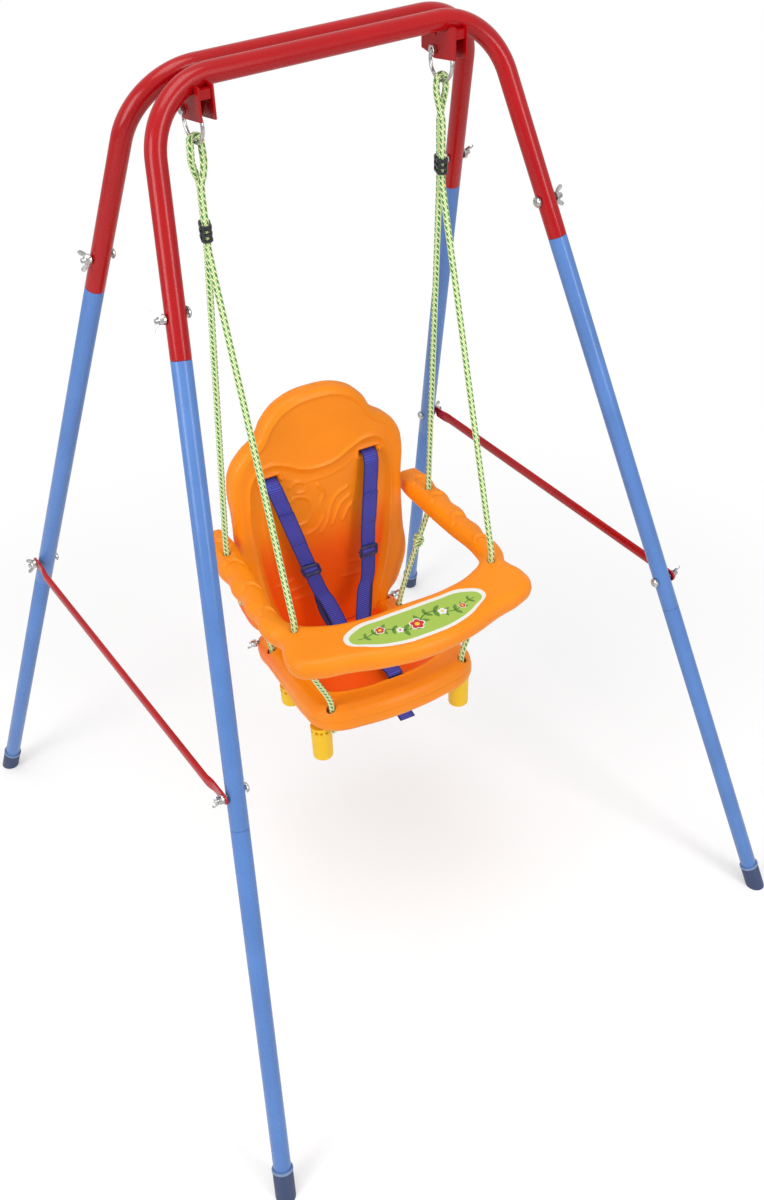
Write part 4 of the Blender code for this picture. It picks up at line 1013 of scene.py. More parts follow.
@dataclass
class TubeFrame:
    """The bent top bars, the leg tubes and the foot caps."""

    plan: FramePlan
    finishes: Finishes
    sides: int = 48
    lip: float = 0.0006
    cap_length: float = 0.032
    cap_wall: float = 0.0014
    ring_height: float = 0.0038

    def lip_profile(self, end: float, way: int) -> list[tuple[float, float]]:
        """Lists the rounded lip at a tube's open end, from the outside in.

        Args:
            end: the distance of the end.
            way: 1 where the tube ends there, or -1 where it starts.

        Returns:
            Pairs of radius and distance.
        """
        outer, inner, lip = self.plan.tube, self.plan.tube - self.plan.wall, self.lip
        rounded = [
            (outer - lip * (1 - math.cos(a)), end - way * lip * (1 - math.sin(a)))
            for a in np.linspace(0.0, math.pi / 2, 5)
        ]
        return [*rounded, (inner, end), (inner, end - way * 1.5 * self.plan.spigot)]

    def rail(self, row: int) -> None:
        """Builds one bent top bar with open, rounded ends."""
        line, tube = Line(self.plan.rail(row)), self.plan.tube
        near, far = 2 * self.lip, line.length - 2 * self.lip
        profile = np.array([
            *reversed(self.lip_profile(0.0, -1)),
            *[(tube, s) for s in line.reach[1:-1] if near < s < far],
            *self.lip_profile(line.length, 1),
        ])
        shell = Shell()
        shell.sweep(tube_rings(line, profile[:, 1], profile[:, 0], self.sides))
        name = f"{row_word(row)}_top_rail"
        settle(shell.made(f"{name}_tube", self.finishes.red), row_body(row), name)

    def leg(self, side: int, row: int) -> None:
        """Builds a leg's two blue tubes, each with the reduced spigot that goes into the tube above."""
        plan = self.plan
        spigot = plan.tube * math.cos(math.pi / 16) - plan.wall - GAP
        tilt = math.acos(-float(plan.leg_way(side, row)[2]))
        leg_end = plan.leg_length(side, row) - plan.cap_floor - plan.tube * math.tan(tilt)
        for part, seam, end in (("upper", plan.red_leg, plan.seam - GAP / 2), ("lower", plan.seam, leg_end)):
            step = seam + GAP / 2
            tip = seam - plan.spigot
            profile = [(spigot - 0.001, tip), (spigot, tip + 0.001), (spigot, step)]
            profile += [*reversed(self.lip_profile(step, -1)[:-2]), *self.lip_profile(end, 1)]
            shell = Shell()
            shell.turned(plan.corner(side, row), plan.leg_way(side, row), profile, self.sides)
            name = f"{row_word(row)}_{side_word(side)}_{part}_leg"
            settle(shell.made(f"{name}_tube", self.finishes.blue), row_body(row), name)
        self.foot_cap(side, row, leg_end)

    def foot_cap(self, side: int, row: int, leg_end: float) -> None:
        """Builds the plastic cap, flat where it stands on the floor, with a pale ring round its mouth."""
        plan, way, edge = self.plan, self.plan.leg_way(side, row), self.lip
        inner = plan.tube + GAP
        outer = inner + self.cap_wall
        mouth, low = leg_end - self.cap_length, plan.leg_length(side, row) + outer
        top = mouth + self.ring_height
        cup = [(inner, top), (outer - 0.0004, top), (outer, top + edge), (outer, low), (inner, low)]
        ring = [(inner, mouth), (outer + 0.0001, mouth), (outer + edge, mouth + edge)]
        ring += [(outer + edge, top - edge), (outer + 0.0001, top), (inner, top)]
        shell = Shell()
        for slot, profile in enumerate((cup, ring)):
            shell.turned(plan.corner(side, row), way, profile, self.sides, slot, closed=slot == 1)
        for points in shell.points:
            below = points[:, 2] < 0.0
            points[below] -= way * (points[below, 2:] / way[2])
        name = f"{row_word(row)}_{side_word(side)}_foot_cap"
        settle(shell.made(f"{name}_moulding", self.finishes.cap, self.finishes.cap_ring), row_body(row), name)

    def build(self) -> None:
        """Builds both halves of the frame."""
        for row in ROWS:
            self.rail(row)
            for side in SIDES:
                self.leg(side, row)


@dataclass
class Braces:
    """The two red side braces, tubes with their ends pressed flat."""

    plan: FramePlan
    finishes: Finishes
    width: float = 0.0155
    thickness: float = 0.0075
    tab: float = 0.0030
    tab_length: float = 0.034
    bolt: float = 0.0028
    fold: float = 40.0
    swing: float = 70.0

    @property
    def inner_x(self) -> float:
        """How far out the braces' inner faces lie."""
        plan = self.plan
        lean = plan.tube / math.sqrt(1 - plan.lean**2) + self.width / 2 * plan.lean + 2 * GAP
        return abs(float(plan.on_leg(1, -1, plan.brace_bolt)[0])) + lean

    def slot_way(self, front: Array, rear: Array) -> Array:
        """Gives the way in which the rear bolt leaves the brace's end as the frame starts to fold."""
        arm = rear - np.array([0.0, 0.0, self.plan.pivot_z])
        bolt_way = np.array([0.0, arm[2], -arm[1]])
        end_way = np.array([0.0, 0.0, (rear[1] - front[1]) * self.swing / self.fold])
        return unit(bolt_way - end_way)

    def brace(self, side: int) -> None:
        """Builds one brace, drilled for the front bolt and slotted for the rear one."""
        front, rear = (self.plan.on_leg(side, row, self.plan.brace_bolt) for row in ROWS)
        reach, angles = self.width / 2, turns(32)
        inset = reach * np.sin(np.linspace(0.0, math.pi / 2, 9)[:-1] - math.pi / 2)
        rings = []
        for y in [*(front[1] + inset), *np.linspace(front[1], rear[1], 120), *(rear[1] - inset[::-1])]:
            away = max(front[1] - y, y - rear[1], 0.0)
            half_height = max(math.sqrt(max(reach**2 - away**2, 0.0)), 0.0004)
            inboard = min(y - front[1], rear[1] - y)
            pressed = 1.0 - float(ease(self.tab_length * 0.55, self.tab_length * 1.1, inboard))
            half_depth = (self.thickness + (self.tab - self.thickness) * pressed) / 2
            power = 2.0 / (2.0 + 6.0 * pressed)
            x = side * (self.inner_x + half_depth) + flattened(np.cos(angles), power) * half_depth
            height = front[2] + flattened(np.sin(angles), power) * half_height
            rings.append(np.stack([x, np.full(32, y), height], axis=1))
        shell = Shell()
        shell.sweep(np.array(rings))
        name = f"{side_word(side)}_brace"
        piece = shell.made(f"{name}_tube", self.finishes.red)
        start, radius = side * self.inner_x - 0.02, self.bolt + 2 * GAP
        cutters = [rod((start, *point[1:]), X_AXIS, radius, 0.04, 24) for point in (front, rear)]
        way = self.slot_way(front, rear)
        across, far = np.cross(way, X_AXIS) * radius, rear + way * self.width
        loop = [point[1:] for point in (rear - across, rear + across, far + across, far - across)]
        upright = Matrix(((0, 0, 1, 0), (1, 0, 0, 0), (0, 1, 0, 0), (0, 0, 0, 1)))
        cutters.append(slab(loop, start, start + 0.04, upright))
        cut_with(piece, cutters)
        settle(piece, name, name)

    def build(self) -> None:
        """Builds both braces."""
        for side in SIDES:
            self.brace(side)


@dataclass
class Hardware:
    """Bolts, wing nuts, pivots and rings."""

    plan: FramePlan
    braces: Braces
    finishes: Finishes
    bolt: float = 0.0028
    head: float = 0.0058
    head_height: float = 0.0040
    nut: float = 0.0056
    nut_height: float = 0.0065
    wing_span: float = 0.024
    wing_height: float = 0.011
    ring_slot: float = 0.0085
    plate: float = 0.0022
    ring: float = 0.020
    wire: float = 0.0020
    pitch: float = 0.0009

    def thread(self, shell: Shell, start: Array, way: Array, length: float) -> None:
        """Adds a threaded rod with a chamfered end."""
        profile = [(self.bolt, 0.0)]
        for at in self.pitch * np.arange(int(length / self.pitch)):
            profile += [(self.bolt, at + 0.3 * self.pitch), (self.bolt * 0.84, at + 0.8 * self.pitch)]
        profile += [(self.bolt, length - 0.0004), (self.bolt * 0.75, length)]
        shell.turned(start, way, profile, 20)

    def dome_head(self, shell: Shell, point: Array, way: Array) -> None:
        """Adds a domed head on a washer; way points out of the tube."""
        head, rise = self.head, self.head_height - 0.0009
        shell.turned(point, way, [(head * 1.12, 0.0), (head * 1.12, 0.0009), (head, 0.0010)])
        angles = np.linspace(0.0, math.radians(82.0), 9)
        dome = [(head * math.cos(a), 0.0009 + rise * (0.18 + 0.82 * math.sin(a))) for a in angles]
        shell.turned(point, way, [(head * 0.9, 0.0008), *dome])

    def wing_nut(self, shell: Shell, point: Array, way: Array, roll: float) -> None:
        """Adds a wing nut on a washer.

        Args:
            shell: the piece that it is part of.
            point: where its washer lies.
            way: the direction out of the tube.
            roll: how far the wings are turned about it, in radians.
        """
        nut, high, span, rise = self.nut, self.nut_height, self.wing_span, self.wing_height
        shell.turned(point, way, [(self.head, 0.0), (self.head, 0.0009), (self.head * 0.9, 0.0010)])
        profile = [(nut, 0.0009), (nut, 0.0022), (nut * 0.82, high - 0.0007), (nut * 0.70, high)]
        shell.turned(point, way, profile)
        wing = [
            (nut * 0.45, 0.0016), (nut * 1.05, 0.0020),
            (span * 0.44, rise * 0.58), (span * 0.50, rise * 0.88),
            (span * 0.43, rise * 1.08), (span * 0.31, rise * 0.98), (nut * 0.80, high * 0.95),
            (nut * 0.45, high * 0.90),
        ]
        loop = smooth_path(wing, 0.0007, closed=True)
        along = unit(way)
        side = unit(np.cross(along, Z_AXIS))
        up = np.cross(side, along)
        for turn in (roll, roll + math.pi):
            spread = math.cos(turn) * up + math.sin(turn) * side
            lie = np.eye(4)
            lie[:3] = np.column_stack([spread, along, np.cross(along, spread), point])
            place = Matrix(lie.tolist())
            shell.plate(loop, -0.0008, 0.0008, place)
            shell.plate(loop + 0.14 * (loop.mean(axis=0) - loop), -0.0012, 0.0012, place)

    def seat(self, point: Array, way: Array) -> Array:
        """Gives where a flat head clears the leaning tube."""
        lean = self.plan.lean
        return point + way * (self.plan.tube / math.sqrt(1 - lean**2) + self.head * lean + 2 * GAP)

    def bolt_through(self, name: str, head_at: Array, nut_at: Array, body: str, roll: float) -> None:
        """Builds a bolt with its domed head, its wing nut and the thread beyond it.

        Args:
            name: the CAD node that it stands for.
            head_at: where the head bears.
            nut_at: where the nut's washer lies.
            body: the body that it rides on.
            roll: how far the wings are turned, in radians.
        """
        way = unit(nut_at - head_at)
        shell = Shell()
        self.dome_head(shell, head_at, -way)
        self.wing_nut(shell, nut_at, way, roll)
        self.thread(shell, head_at, way, float(np.linalg.norm(nut_at - head_at)) + self.nut_height * 1.55)
        settle(shell.made(f"{name}_set", self.finishes.steel, sharp=30.0), body, name)

    def leg_bolts(self) -> None:
        """Builds the joint bolts and the brace bolts."""
        plan, outside = self.plan, self.braces.inner_x + self.braces.tab + GAP
        for row, side, roll in ((-1, -1, 0.35), (-1, 1, -0.25), (1, -1, 0.10), (1, 1, 0.6)):
            out, name, body = X_AXIS * side, f"{row_word(row)}_{side_word(side)}", row_body(row)
            point = plan.on_leg(side, row, plan.joint_bolt)
            ends = self.seat(point, -out), self.seat(point, out)
            self.bolt_through(f"{name}_joint_bolt", *ends, body, roll)
            point = plan.on_leg(side, row, plan.brace_bolt)
            ends = self.seat(point, -out), np.array([side * outside, *point[1:]])
            self.bolt_through(f"{name}_brace_bolt", *ends, body, -roll)

    def pivots(self) -> None:
        """Builds the pivot bolts, their nuts and the rings that hang on them."""
        reach = self.ring_slot / 2 + 2 * self.plate + 2 * GAP
        corner, nut, height = self.head * 0.98, self.nut, self.nut_height * 0.75
        head = [(corner * 0.90, 0.0), (corner, 0.0004), (corner, 0.0031), (corner * 0.86, self.head_height)]
        ring = [(nut * 0.9, 0.0), (nut, 0.0004), (nut, height - 0.0004), (nut * 0.9, height)]
        ring += [(self.bolt, height), (self.bolt, 0.0)]
        for side in SIDES:
            out = X_AXIS * side
            middle = np.array([side * self.plan.bracket_x, 0.0, self.plan.pivot_z])
            bolt, hexagon = Shell(), Shell()
            bolt.turned(middle + out * reach, out, head, 6)
            self.thread(bolt, middle + out * reach, -out, 2 * reach + self.nut_height)
            hexagon.turned(middle - out * reach, -out, ring, 6, closed=True)
            for part, shell in (("bolt", bolt), ("nut", hexagon)):
                name = f"{side_word(side)}_pivot_{part}"
                settle(shell.made(f"{name}_set", self.finishes.steel, sharp=30.0), Body.FRONT, name)
            self.hang_ring(side)

    def hang_ring(self, side: int) -> None:
        """Builds one welded steel ring."""
        x, drop = side * self.plan.bracket_x, self.ring - self.wire - self.bolt - GAP
        middle = (0.0, self.plan.pivot_z - drop)
        shell = Shell()
        circle = np.array(arc(middle, self.ring, 0.0, 360.0, 96)[:-1])
        shell.wire(np.insert(circle, 0, x, axis=1), self.wire, 20)
        weld = [(x, y, z) for y, z in arc(middle, self.ring, 38.0, 46.0, 8)]
        shell.tube(weld, self.wire * (1.0 + 0.16 * np.sin(np.linspace(0.0, math.pi, len(weld)))), 20)
        name = f"{side_word(side)}_ring"
        settle(shell.made(f"{name}_wire", self.finishes.steel, sharp=60.0), Body.SWING, name)

    def brackets(self) -> None:
        """Gives the welded brackets their enamel, softer edges and weld beads."""
        for row in ROWS:
            for side in SIDES:
                name = f"{row_word(row)}_{side_word(side)}_bracket"
                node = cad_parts[name]
                node.data.materials.clear()
                node.data.materials.append(self.finishes.red)
                round_edges(node, 0.0004, 2)
                self.weld(name, side, row)

    def weld(self, name: str, side: int, row: int) -> None:
        """Builds the bead that joins a bracket's plates to the bar."""
        half = self.ring_slot / 2 + (self.plate + GAP if row < 0 else 0.0) + self.plate + 0.0002
        angles = (198.0, 262.0) if row > 0 else (278.0, 342.0)
        bar = (row * self.plan.bar_spacing / 2, self.plan.top_height)
        places = arc(bar, self.plan.tube + 0.0004, *angles, 60)
        ripple = 0.0012 + 0.0003 * np.abs(np.sin(np.linspace(0.0, 9 * math.pi, len(places))))
        ripple[0] = ripple[-1] = 0.0004
        shell = Shell()
        for way in SIDES:
            shell.tube([(side * self.plan.bracket_x + way * half, y, z) for y, z in places], ripple, 12)
        settle(shell.made(f"{name}_weld", self.finishes.red, sharp=60.0), row_body(row))

    def build(self) -> None:
        """Builds all the hardware of the frame."""
        self.leg_bolts()
        self.pivots()
        self.brackets()


# The seat's plan and the ropes


@dataclass(frozen=True)
class SeatPlan:
    """The seat's leading sizes, as in the part's source, in its own axes before its turn on the ropes."""

    turn: float = math.radians(-6.5)
    guard_top: float = 0.562
    guard_thickness: float = 0.030
    guard_front_hole: tuple[float, float] = (0.140, -0.137)
    guard_rear_hole: tuple[float, float] = (0.152, 0.048)
    back_y: float = 0.072
    back_thickness: float = 0.030
    back_bottom: float = 0.346
    back_top: float = 0.747
    base_front_y: float = -0.163
    base_front_top: float = 0.418
    base_thickness: float = 0.040
    base_length: float = 0.277
    base_tilt: float = math.radians(12.0)
    base_front_hole: tuple[float, float] = (0.099, -0.137)
    base_rear_hole: tuple[float, float] = (0.1035, 0.050)
    foot_radius: float = 0.0150
    foot_taper: float = 0.92
    foot_bottom: float = 0.311
    front_foot: tuple[float, float] = (0.1060, -0.1165)
    rear_foot: tuple[float, float] = (0.0995, 0.0)
    pan_depth: float = 0.013

    @property
    def matrix(self) -> Matrix:
        """The seat's turn on its ropes."""
        return Matrix.Rotation(self.turn, 4, "Z")

    def place(self, x: float, y: float, z: float) -> Array:
        """Takes a place in the seat's own axes to the row frame."""
        return self.turned(np.array([[x, y, z]]))[0]

    def turned(self, points: Array) -> Array:
        """Takes places in the seat's own axes to the row frame."""
        cosine, sine = math.cos(self.turn), math.sin(self.turn)
        x, y, z = np.moveaxis(points, -1, 0)
        return np.stack([x * cosine - y * sine, x * sine + y * cosine, z], axis=-1)

    def base_surface(self, y: float, depth: float = 0.0) -> float:
        """Gives the height of the base's sloped top, or of a level below it."""
        slope = math.tan(self.base_tilt)
        return self.base_front_top - (y - self.base_front_y) * slope - depth / math.cos(self.base_tilt)


@dataclass
class Ropes:
    """The braided ropes, their knots and the adjusters."""

    frame_plan: FramePlan
    seat: SeatPlan
    finishes: Finishes
    radius: float = 0.0040
    columns: int = 8
    pitch: float = 0.0036
    sides: int = 40
    step: float = 0.0008
    ring: float = 0.020
    wire: float = 0.0020
    bolt: float = 0.0028
    adjuster_z: float = 1.028
    adjuster_height: float = 0.018
    adjuster_wall: float = 0.0022
    adjuster_travel: float = 0.040
    adjuster_turn: float = math.radians(20.0)
    knot_z: float = 0.476

    @property
    def guard_middle(self) -> float:
        """The height of the guard's middle, where the upper and lower runs meet."""
        return self.seat.guard_top - self.seat.guard_thickness / 2

    def ring_middle(self) -> float:
        """The height of the rings' centres, as the solid ring hangs."""
        hang = self.ring * math.cos(math.pi / 24) - self.wire - self.bolt - GAP
        return self.frame_plan.pivot_z - hang

    @property
    def bore_off(self) -> float:
        """How far an adjuster's bores lie from its middle."""
        return self.radius + self.adjuster_wall / 2 + GAP

    @property
    def spread(self) -> float:
        """How far each strand's middle lies to the side of the ring's wire."""
        return self.radius + self.wire + 2 * GAP

    def bore(self, side: int, way: int, z: float) -> Array:
        """Gives where a strand passes through its adjuster, at a height."""
        off = way * self.bore_off
        across, along = off * math.sin(self.adjuster_turn), off * math.cos(self.adjuster_turn)
        return np.array([side * self.frame_plan.bracket_x + across, along, z])

    def twist(self, side: int, way: int, start: float, end: float) -> list[Array]:
        """Lists a strand's turn about the other one, between the adjuster's run and the ring.

        Args:
            side: the rope's side.
            way: -1 for the strand to the guard's front hole, 1 for the one to its rear hole.
            start: the height at which the strands come off the ring.
            end: the height at which they are in line with the adjuster's bores.

        Returns:
            Three places, from low to high.
        """
        first = 0.0 if way * side > 0 else math.pi
        turn = math.pi / 2 - self.adjuster_turn - (math.pi if side < 0 else 0.0)
        places = []
        for share in (0.75, 0.5, 0.25):
            angle, off = first + turn * share, self.spread + (self.bore_off - self.spread) * share
            x = side * self.frame_plan.bracket_x + off * math.cos(angle)
            places.append(np.array([x, off * math.sin(angle), start + (end - start) * share]))
        return places

    def upper_route(self, side: int) -> list[Array]:
        """Lists the route from the guard's front hole up over the ring and down to its rear hole."""
        seat, middle, spread = self.seat, side * self.frame_plan.bracket_x, self.spread
        crest = self.ring_middle() - self.ring + spread
        low, high = (self.adjuster_z + way * self.adjuster_height / 2 for way in SIDES)
        halves = []
        for way, hole in ((-1, seat.guard_front_hole), (1, seat.guard_rear_hole)):
            x, y, top = side * hole[0], hole[1], high + self.adjuster_travel
            mouth, below = seat.place(x, y, seat.guard_top + 0.012), self.bore(side, way, low - 0.012)
            halves.append([
                seat.place(x, y, self.guard_middle + GAP / 2),
                seat.place(x, y, seat.guard_top),
                *[mouth + (below - mouth) * share for share in (0.0, 0.04, 0.12, 0.30, 0.62, 0.96)],
                *[self.bore(side, way, level) for level in (low, high, top)],
                *self.twist(side, way, crest - 0.016, top),
                np.array([middle + way * side * spread, 0.0, crest - 0.016]),
            ])
        over = []
        for angle in math.pi / 6 * np.arange(1, 6):
            x = middle - side * spread * math.cos(angle)
            over.append(np.array([x, 0.0, crest - spread * (1 - math.sin(angle))]))
        return [*halves[0], *over, *reversed(halves[1])]

    def knot_place(self, side: int) -> Array:
        """Gives the knot's middle, between the rear holes of the base and the guard, in the seat's axes."""
        seat = self.seat
        hole, guard = seat.base_rear_hole, seat.guard_rear_hole
        start = np.array([side * hole[0], hole[1], seat.base_surface(hole[1])])
        end = np.array([side * guard[0], guard[1], seat.guard_top - seat.guard_thickness])
        return start + (end - start) * (self.knot_z - start[2]) / (end[2] - start[2])

    def lower_route(self, side: int) -> list[Array]:
        """Lists the route from the guard's front hole down through the base and back up to the rear hole."""
        seat, thick = self.seat, self.seat.base_thickness
        (front_x, front_y), (rear_x, rear_y) = seat.base_front_hole, seat.base_rear_hole
        bottom = seat.guard_top - seat.guard_thickness
        inside = seat.rear_foot[0] - seat.foot_radius - self.radius - 4 * GAP
        under = [
            (front_x, front_y, 0.85 * thick), (front_x - 0.0012, front_y + 0.0010, thick + 0.0030),
            (front_x - 0.0055, front_y + 0.0045, thick + 0.0058), (inside, front_y + 0.018, thick + 0.0056),
            (inside, (front_y + rear_y) / 2, thick + 0.0060), (inside, seat.rear_foot[1], thick + 0.0060),
            (rear_x - 0.0040, rear_y - 0.0055, thick + 0.0058),
            (rear_x - 0.0010, rear_y - 0.0012, thick + 0.0030), (rear_x, rear_y, 0.85 * thick),
        ]
        (guard_x, guard_y), knot = seat.guard_front_hole, self.knot_place(side)
        level = (bottom + seat.base_surface(front_y)) / 2
        halfway = ((guard_x + front_x) / 2, (guard_y + front_y) / 2, level)
        above_rear = np.array([side * rear_x, rear_y, seat.base_surface(rear_y) + 0.012])
        down = [
            (guard_x, guard_y, self.guard_middle - GAP / 2), (guard_x, guard_y, bottom - 0.004), halfway,
            (front_x, front_y, seat.base_surface(front_y) + 0.008),
            *[(x, y, seat.base_surface(y, depth)) for x, y, depth in under],
            (rear_x, rear_y, seat.base_surface(rear_y) + 0.004),
        ]
        (guard_x, guard_y), ends = seat.guard_rear_hole, (bottom - 0.006, self.guard_middle - GAP / 2)
        return [
            *[seat.place(side * x, y, z) for x, y, z in down],
            *[seat.place(*place) for place in ((above_rear + knot) / 2, knot)],
            *[seat.place(side * guard_x, guard_y, level) for level in ends],
        ]

    def braid(self, points: Array, radius: float) -> tuple[Shell, Line]:
        """Braids a cord along points.

        Args:
            points: the route's points.
            radius: the cord's radius over its strands.

        Returns:
            The cord's shell and its centre line.
        """
        line = Line(points)
        distances = np.linspace(0.0, line.length, max(8, round(line.length / self.step)))
        around = np.arange(self.sides) / self.sides * self.columns
        strand = around + (1 - 2 * (np.floor(around) % 2)) * distances[:, None] / self.pitch
        crown = 1.0 - np.abs(2.0 * (strand % 1.0) - 1.0) ** 2
        height = (0.30 + 0.70 * crown) * (0.55 + 0.45 * np.sin(math.pi * (around % 1.0)))
        shell = Shell()
        rings = tube_rings(line, distances, radius * (0.80 + 0.20 * height), self.sides)
        shell.sweep(rings, lengths=distances)
        return shell, line

    def run(self, side: int, part: str, route: list[Array]) -> None:
        """Args:
            side: the rope's side.
            part: upper or lower.
            route: the places that it passes through.
        """
        points = smooth_path(route, 0.004)
        shell, line = self.braid(points, self.radius)
        name = f"{side_word(side)}_{part}_rope"
        piece = shell.made(f"{name}_braid", self.finishes.rope, sharp=180.0)
        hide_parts(name)
        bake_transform(piece)
        LOG.info("%s is %.3f m long", piece.name, line.length)

    def knot(self, side: int) -> None:
        """Builds the knot in the rear strand above the base: close turns with one strand over them."""
        seat = self.seat
        middle = seat.place(*self.knot_place(side))
        x, y = seat.guard_rear_hole
        way = unit(seat.place(side * x, y, seat.guard_top) - middle)
        across = unit(np.cross(way, X_AXIS))
        beyond = np.cross(way, across)
        turn, half, points = math.tau * 2.4, 0.0082, []
        for share in np.linspace(0.0, 1.0, 70):
            reach = 0.0034 + 0.0012 * math.sin(share * math.pi)
            points.append((share * turn, reach, half * (2.0 * share - 1.0)))
        for share in np.linspace(0.12, 1.0, 24):
            reach = 0.0034 + 0.0021 * math.sin(share * math.pi) ** 0.5
            points.append((turn + share * math.pi * 1.1, reach, half * (1.0 - 1.9 * share)))
        angles, reach, rise = (values[:, None] for values in np.array(points).T)
        spokes = across * np.cos(angles * side) + beyond * np.sin(angles * side)
        shell = self.braid(middle + spokes * reach + way * rise, self.radius * 0.88)[0]
        settle(shell.made(f"{side_word(side)}_rope_knot", self.finishes.rope, sharp=180.0), Body.SWING)

    def adjuster(self, side: int) -> None:
        """Builds the black adjuster that both strands pass through, with its windows and its notched top."""
        low, high = -self.adjuster_height / 2, self.adjuster_height / 2
        off, bore = self.bore_off, self.radius + GAP
        outer = bore + self.adjuster_wall
        name = f"{side_word(side)}_rope_adjuster"
        body = Shell()
        body.plate([*arc((off, 0.0), outer, -80, 80, 20), *arc((-off, 0.0), outer, 100, 260, 20)], low, high)
        piece = body.made(f"{name}_body", self.finishes.black)
        round_edges(piece, 0.0006, 3)
        bake(piece)
        height = self.adjuster_height + 0.02
        cutters = [rod((x, 0.0, low - 0.01), Z_AXIS, bore, height) for x in (-off, off)]
        corners = np.array([[-1, -1], [1, -1], [1, 1], [-1, 1]])
        for level, height in ((low + 0.0030, 0.0042), (low + 0.0100, 0.0036)):
            for reach in ((off + 0.0034, 0.02), (0.02, 0.0032)):
                cutters.append(slab(corners * reach, level, level + height))
        notch = [(-0.0042, high + 0.001), (0.0042, high + 0.001), (0.0, high - 0.0034)]
        cutters.append(slab(notch, -0.02, 0.02, Matrix.Rotation(math.pi / 2, 4, "X")))
        cut_with(piece, cutters, 30.0)
        place = Matrix.Translation((side * self.frame_plan.bracket_x, 0.0, self.adjuster_z))
        piece.data.transform(place @ Matrix.Rotation(math.pi / 2 - self.adjuster_turn, 4, "Z"))
        settle(piece, name, name)

    def build(self) -> None:
        """Builds both ropes with their knots and adjusters."""
        for side in SIDES:
            self.run(side, "upper", self.upper_route(side))
            self.run(side, "lower", self.lower_route(side))
            self.knot(side)
            self.adjuster(side)


# The moulded seat


class Outline:
    """A closed curve with automatic handles through flat points, as the part's source draws it."""

    def __init__(self, half: Loop) -> None:
        """Draws the curve.

        Args:
            half: the points of its right half, in order from one end of the middle line.
        """
        self.knots = mirrored(half)
        drawn = self.curve("outline", 16)
        drawn.data.fill_mode = "NONE"
        drawn = baked(drawn)
        self.points = np.array([tuple(v.co)[:2] for v in drawn.data.vertices])
        bpy.data.objects.remove(drawn, do_unlink=True)

    def curve(self, name: str, steps: int) -> Piece:
        """Makes a flat filled curve through the outline's points."""
        data = bpy.data.curves.new(name, "CURVE")
        data.dimensions, data.resolution_u, data.fill_mode = "2D", steps, "BOTH"
        spline = data.splines.new("BEZIER")
        spline.bezier_points.add(len(self.knots) - 1)
        for slot, knot in zip(spline.bezier_points, self.knots):
            slot.co = (*knot, 0.0)
            slot.handle_left_type = slot.handle_right_type = "AUTO"
        spline.use_cyclic_u = True
        return linked(name, data)

    def solid(self, name: str, thickness: float, rounding: float, skin: float = 0.0) -> Piece:
        """Draws the outline out to a thick form with rounded edges.

        Args:
            name: the piece's name.
            thickness: how thick it is, half to each side of Z = 0.
            rounding: the radius of its edges.
            skin: how far apart the points of an even fine skin lie, or 0 for none.

        Returns:
            The piece, flat in its own axes.
        """
        piece = self.curve(name, 12)
        data = piece.data
        data.extrude = thickness / 2 - rounding
        data.bevel_depth, data.bevel_resolution, data.offset = rounding, 6, -rounding
        piece = baked(piece)
        if skin:
            remesh = piece.modifiers.new("skin", "REMESH")
            remesh.mode, remesh.voxel_size = "VOXEL", skin
            even = piece.modifiers.new("even", "SMOOTH")
            even.factor, even.iterations = 0.5, 5
            bake(piece)
        return piece

    def inside(self, places: Array) -> Array:
        """Measures how far flat places lie inside the outline."""
        return inside_distance(places, self.points)


def carve(piece: Piece, relief: Relief, outward: int = 1) -> None:
    """Raises and lowers one flat face of a piece that lies flat in its own axes.

    Args:
        piece: the piece.
        relief: gives how far the face rises at flat places.
        outward: 1 for the face toward +Z, or -1 for the other one.
    """
    data = piece.data
    points = np.empty(3 * len(data.vertices), np.float32)
    normals = np.empty_like(points)
    data.vertices.foreach_get("co", points)
    data.vertex_normals.foreach_get("vector", normals)
    points, normals = points.reshape(-1, 3), normals.reshape(-1, 3)
    facing = ease(0.35, 0.85, normals[:, 2] * outward)
    chosen = facing > 0.0
    rise = relief(points[chosen, 0].astype(float), points[chosen, 1].astype(float))
    points[chosen, 2] += outward * facing[chosen] * rise
    data.vertices.foreach_set("co", points.ravel())
    data.update()


@dataclass
class Mould:
    """One moulded piece of the seat: its outline, its size and the place where it stands."""

    node: str
    outline: Outline
    thickness: float
    rounding: float
    skin: float
    place: Matrix
    body: Body = Body.SWING
    seam: float = 0.00045

    def build(
        self, reliefs: list[Relief], cutters: list[Piece], finish: Finish, edge: Finish, sharp: float = 50.0
    ) -> None:
        """Builds the piece, with the thin line that the mould's halves leave round it.

        Args:
            reliefs: the relief of its upper face, and where it has one that of its lower face.
            cutters: the forms that are cut from it.
            finish: its own finish.
            edge: the finish of the line.
            sharp: the angle in degrees above which an edge stays sharp.
        """
        piece = self.outline.solid(f"{self.node}_moulding", self.thickness, self.rounding, self.skin)
        for relief, outward in zip(reliefs, (1, -1)):
            carve(piece, relief, outward)
        piece.data.transform(self.place)
        cut_with(piece, cutters, sharp, Solver.MANIFOLD)
        piece.data.materials.clear()
        piece.data.materials.append(finish)
        settle(piece, self.body, self.node)
        shell = Shell()
        shell.wire(moved(np.insert(self.outline.points, 2, 0.0, axis=1), self.place), self.seam, 8)
        settle(shell.made(f"{self.node}_mould_seam", edge, sharp=180.0), self.body)


def hole_dish(places: Array, middle: Sequence[float], bore: float, depth: float) -> Array:
    """Gives the soft dish round a hole's mouth, as a rise below zero."""
    away = np.linalg.norm(places - np.array(middle), axis=1)
    return -depth * (1.0 - ease(bore * 0.9, bore + 0.0042, away)) ** 2


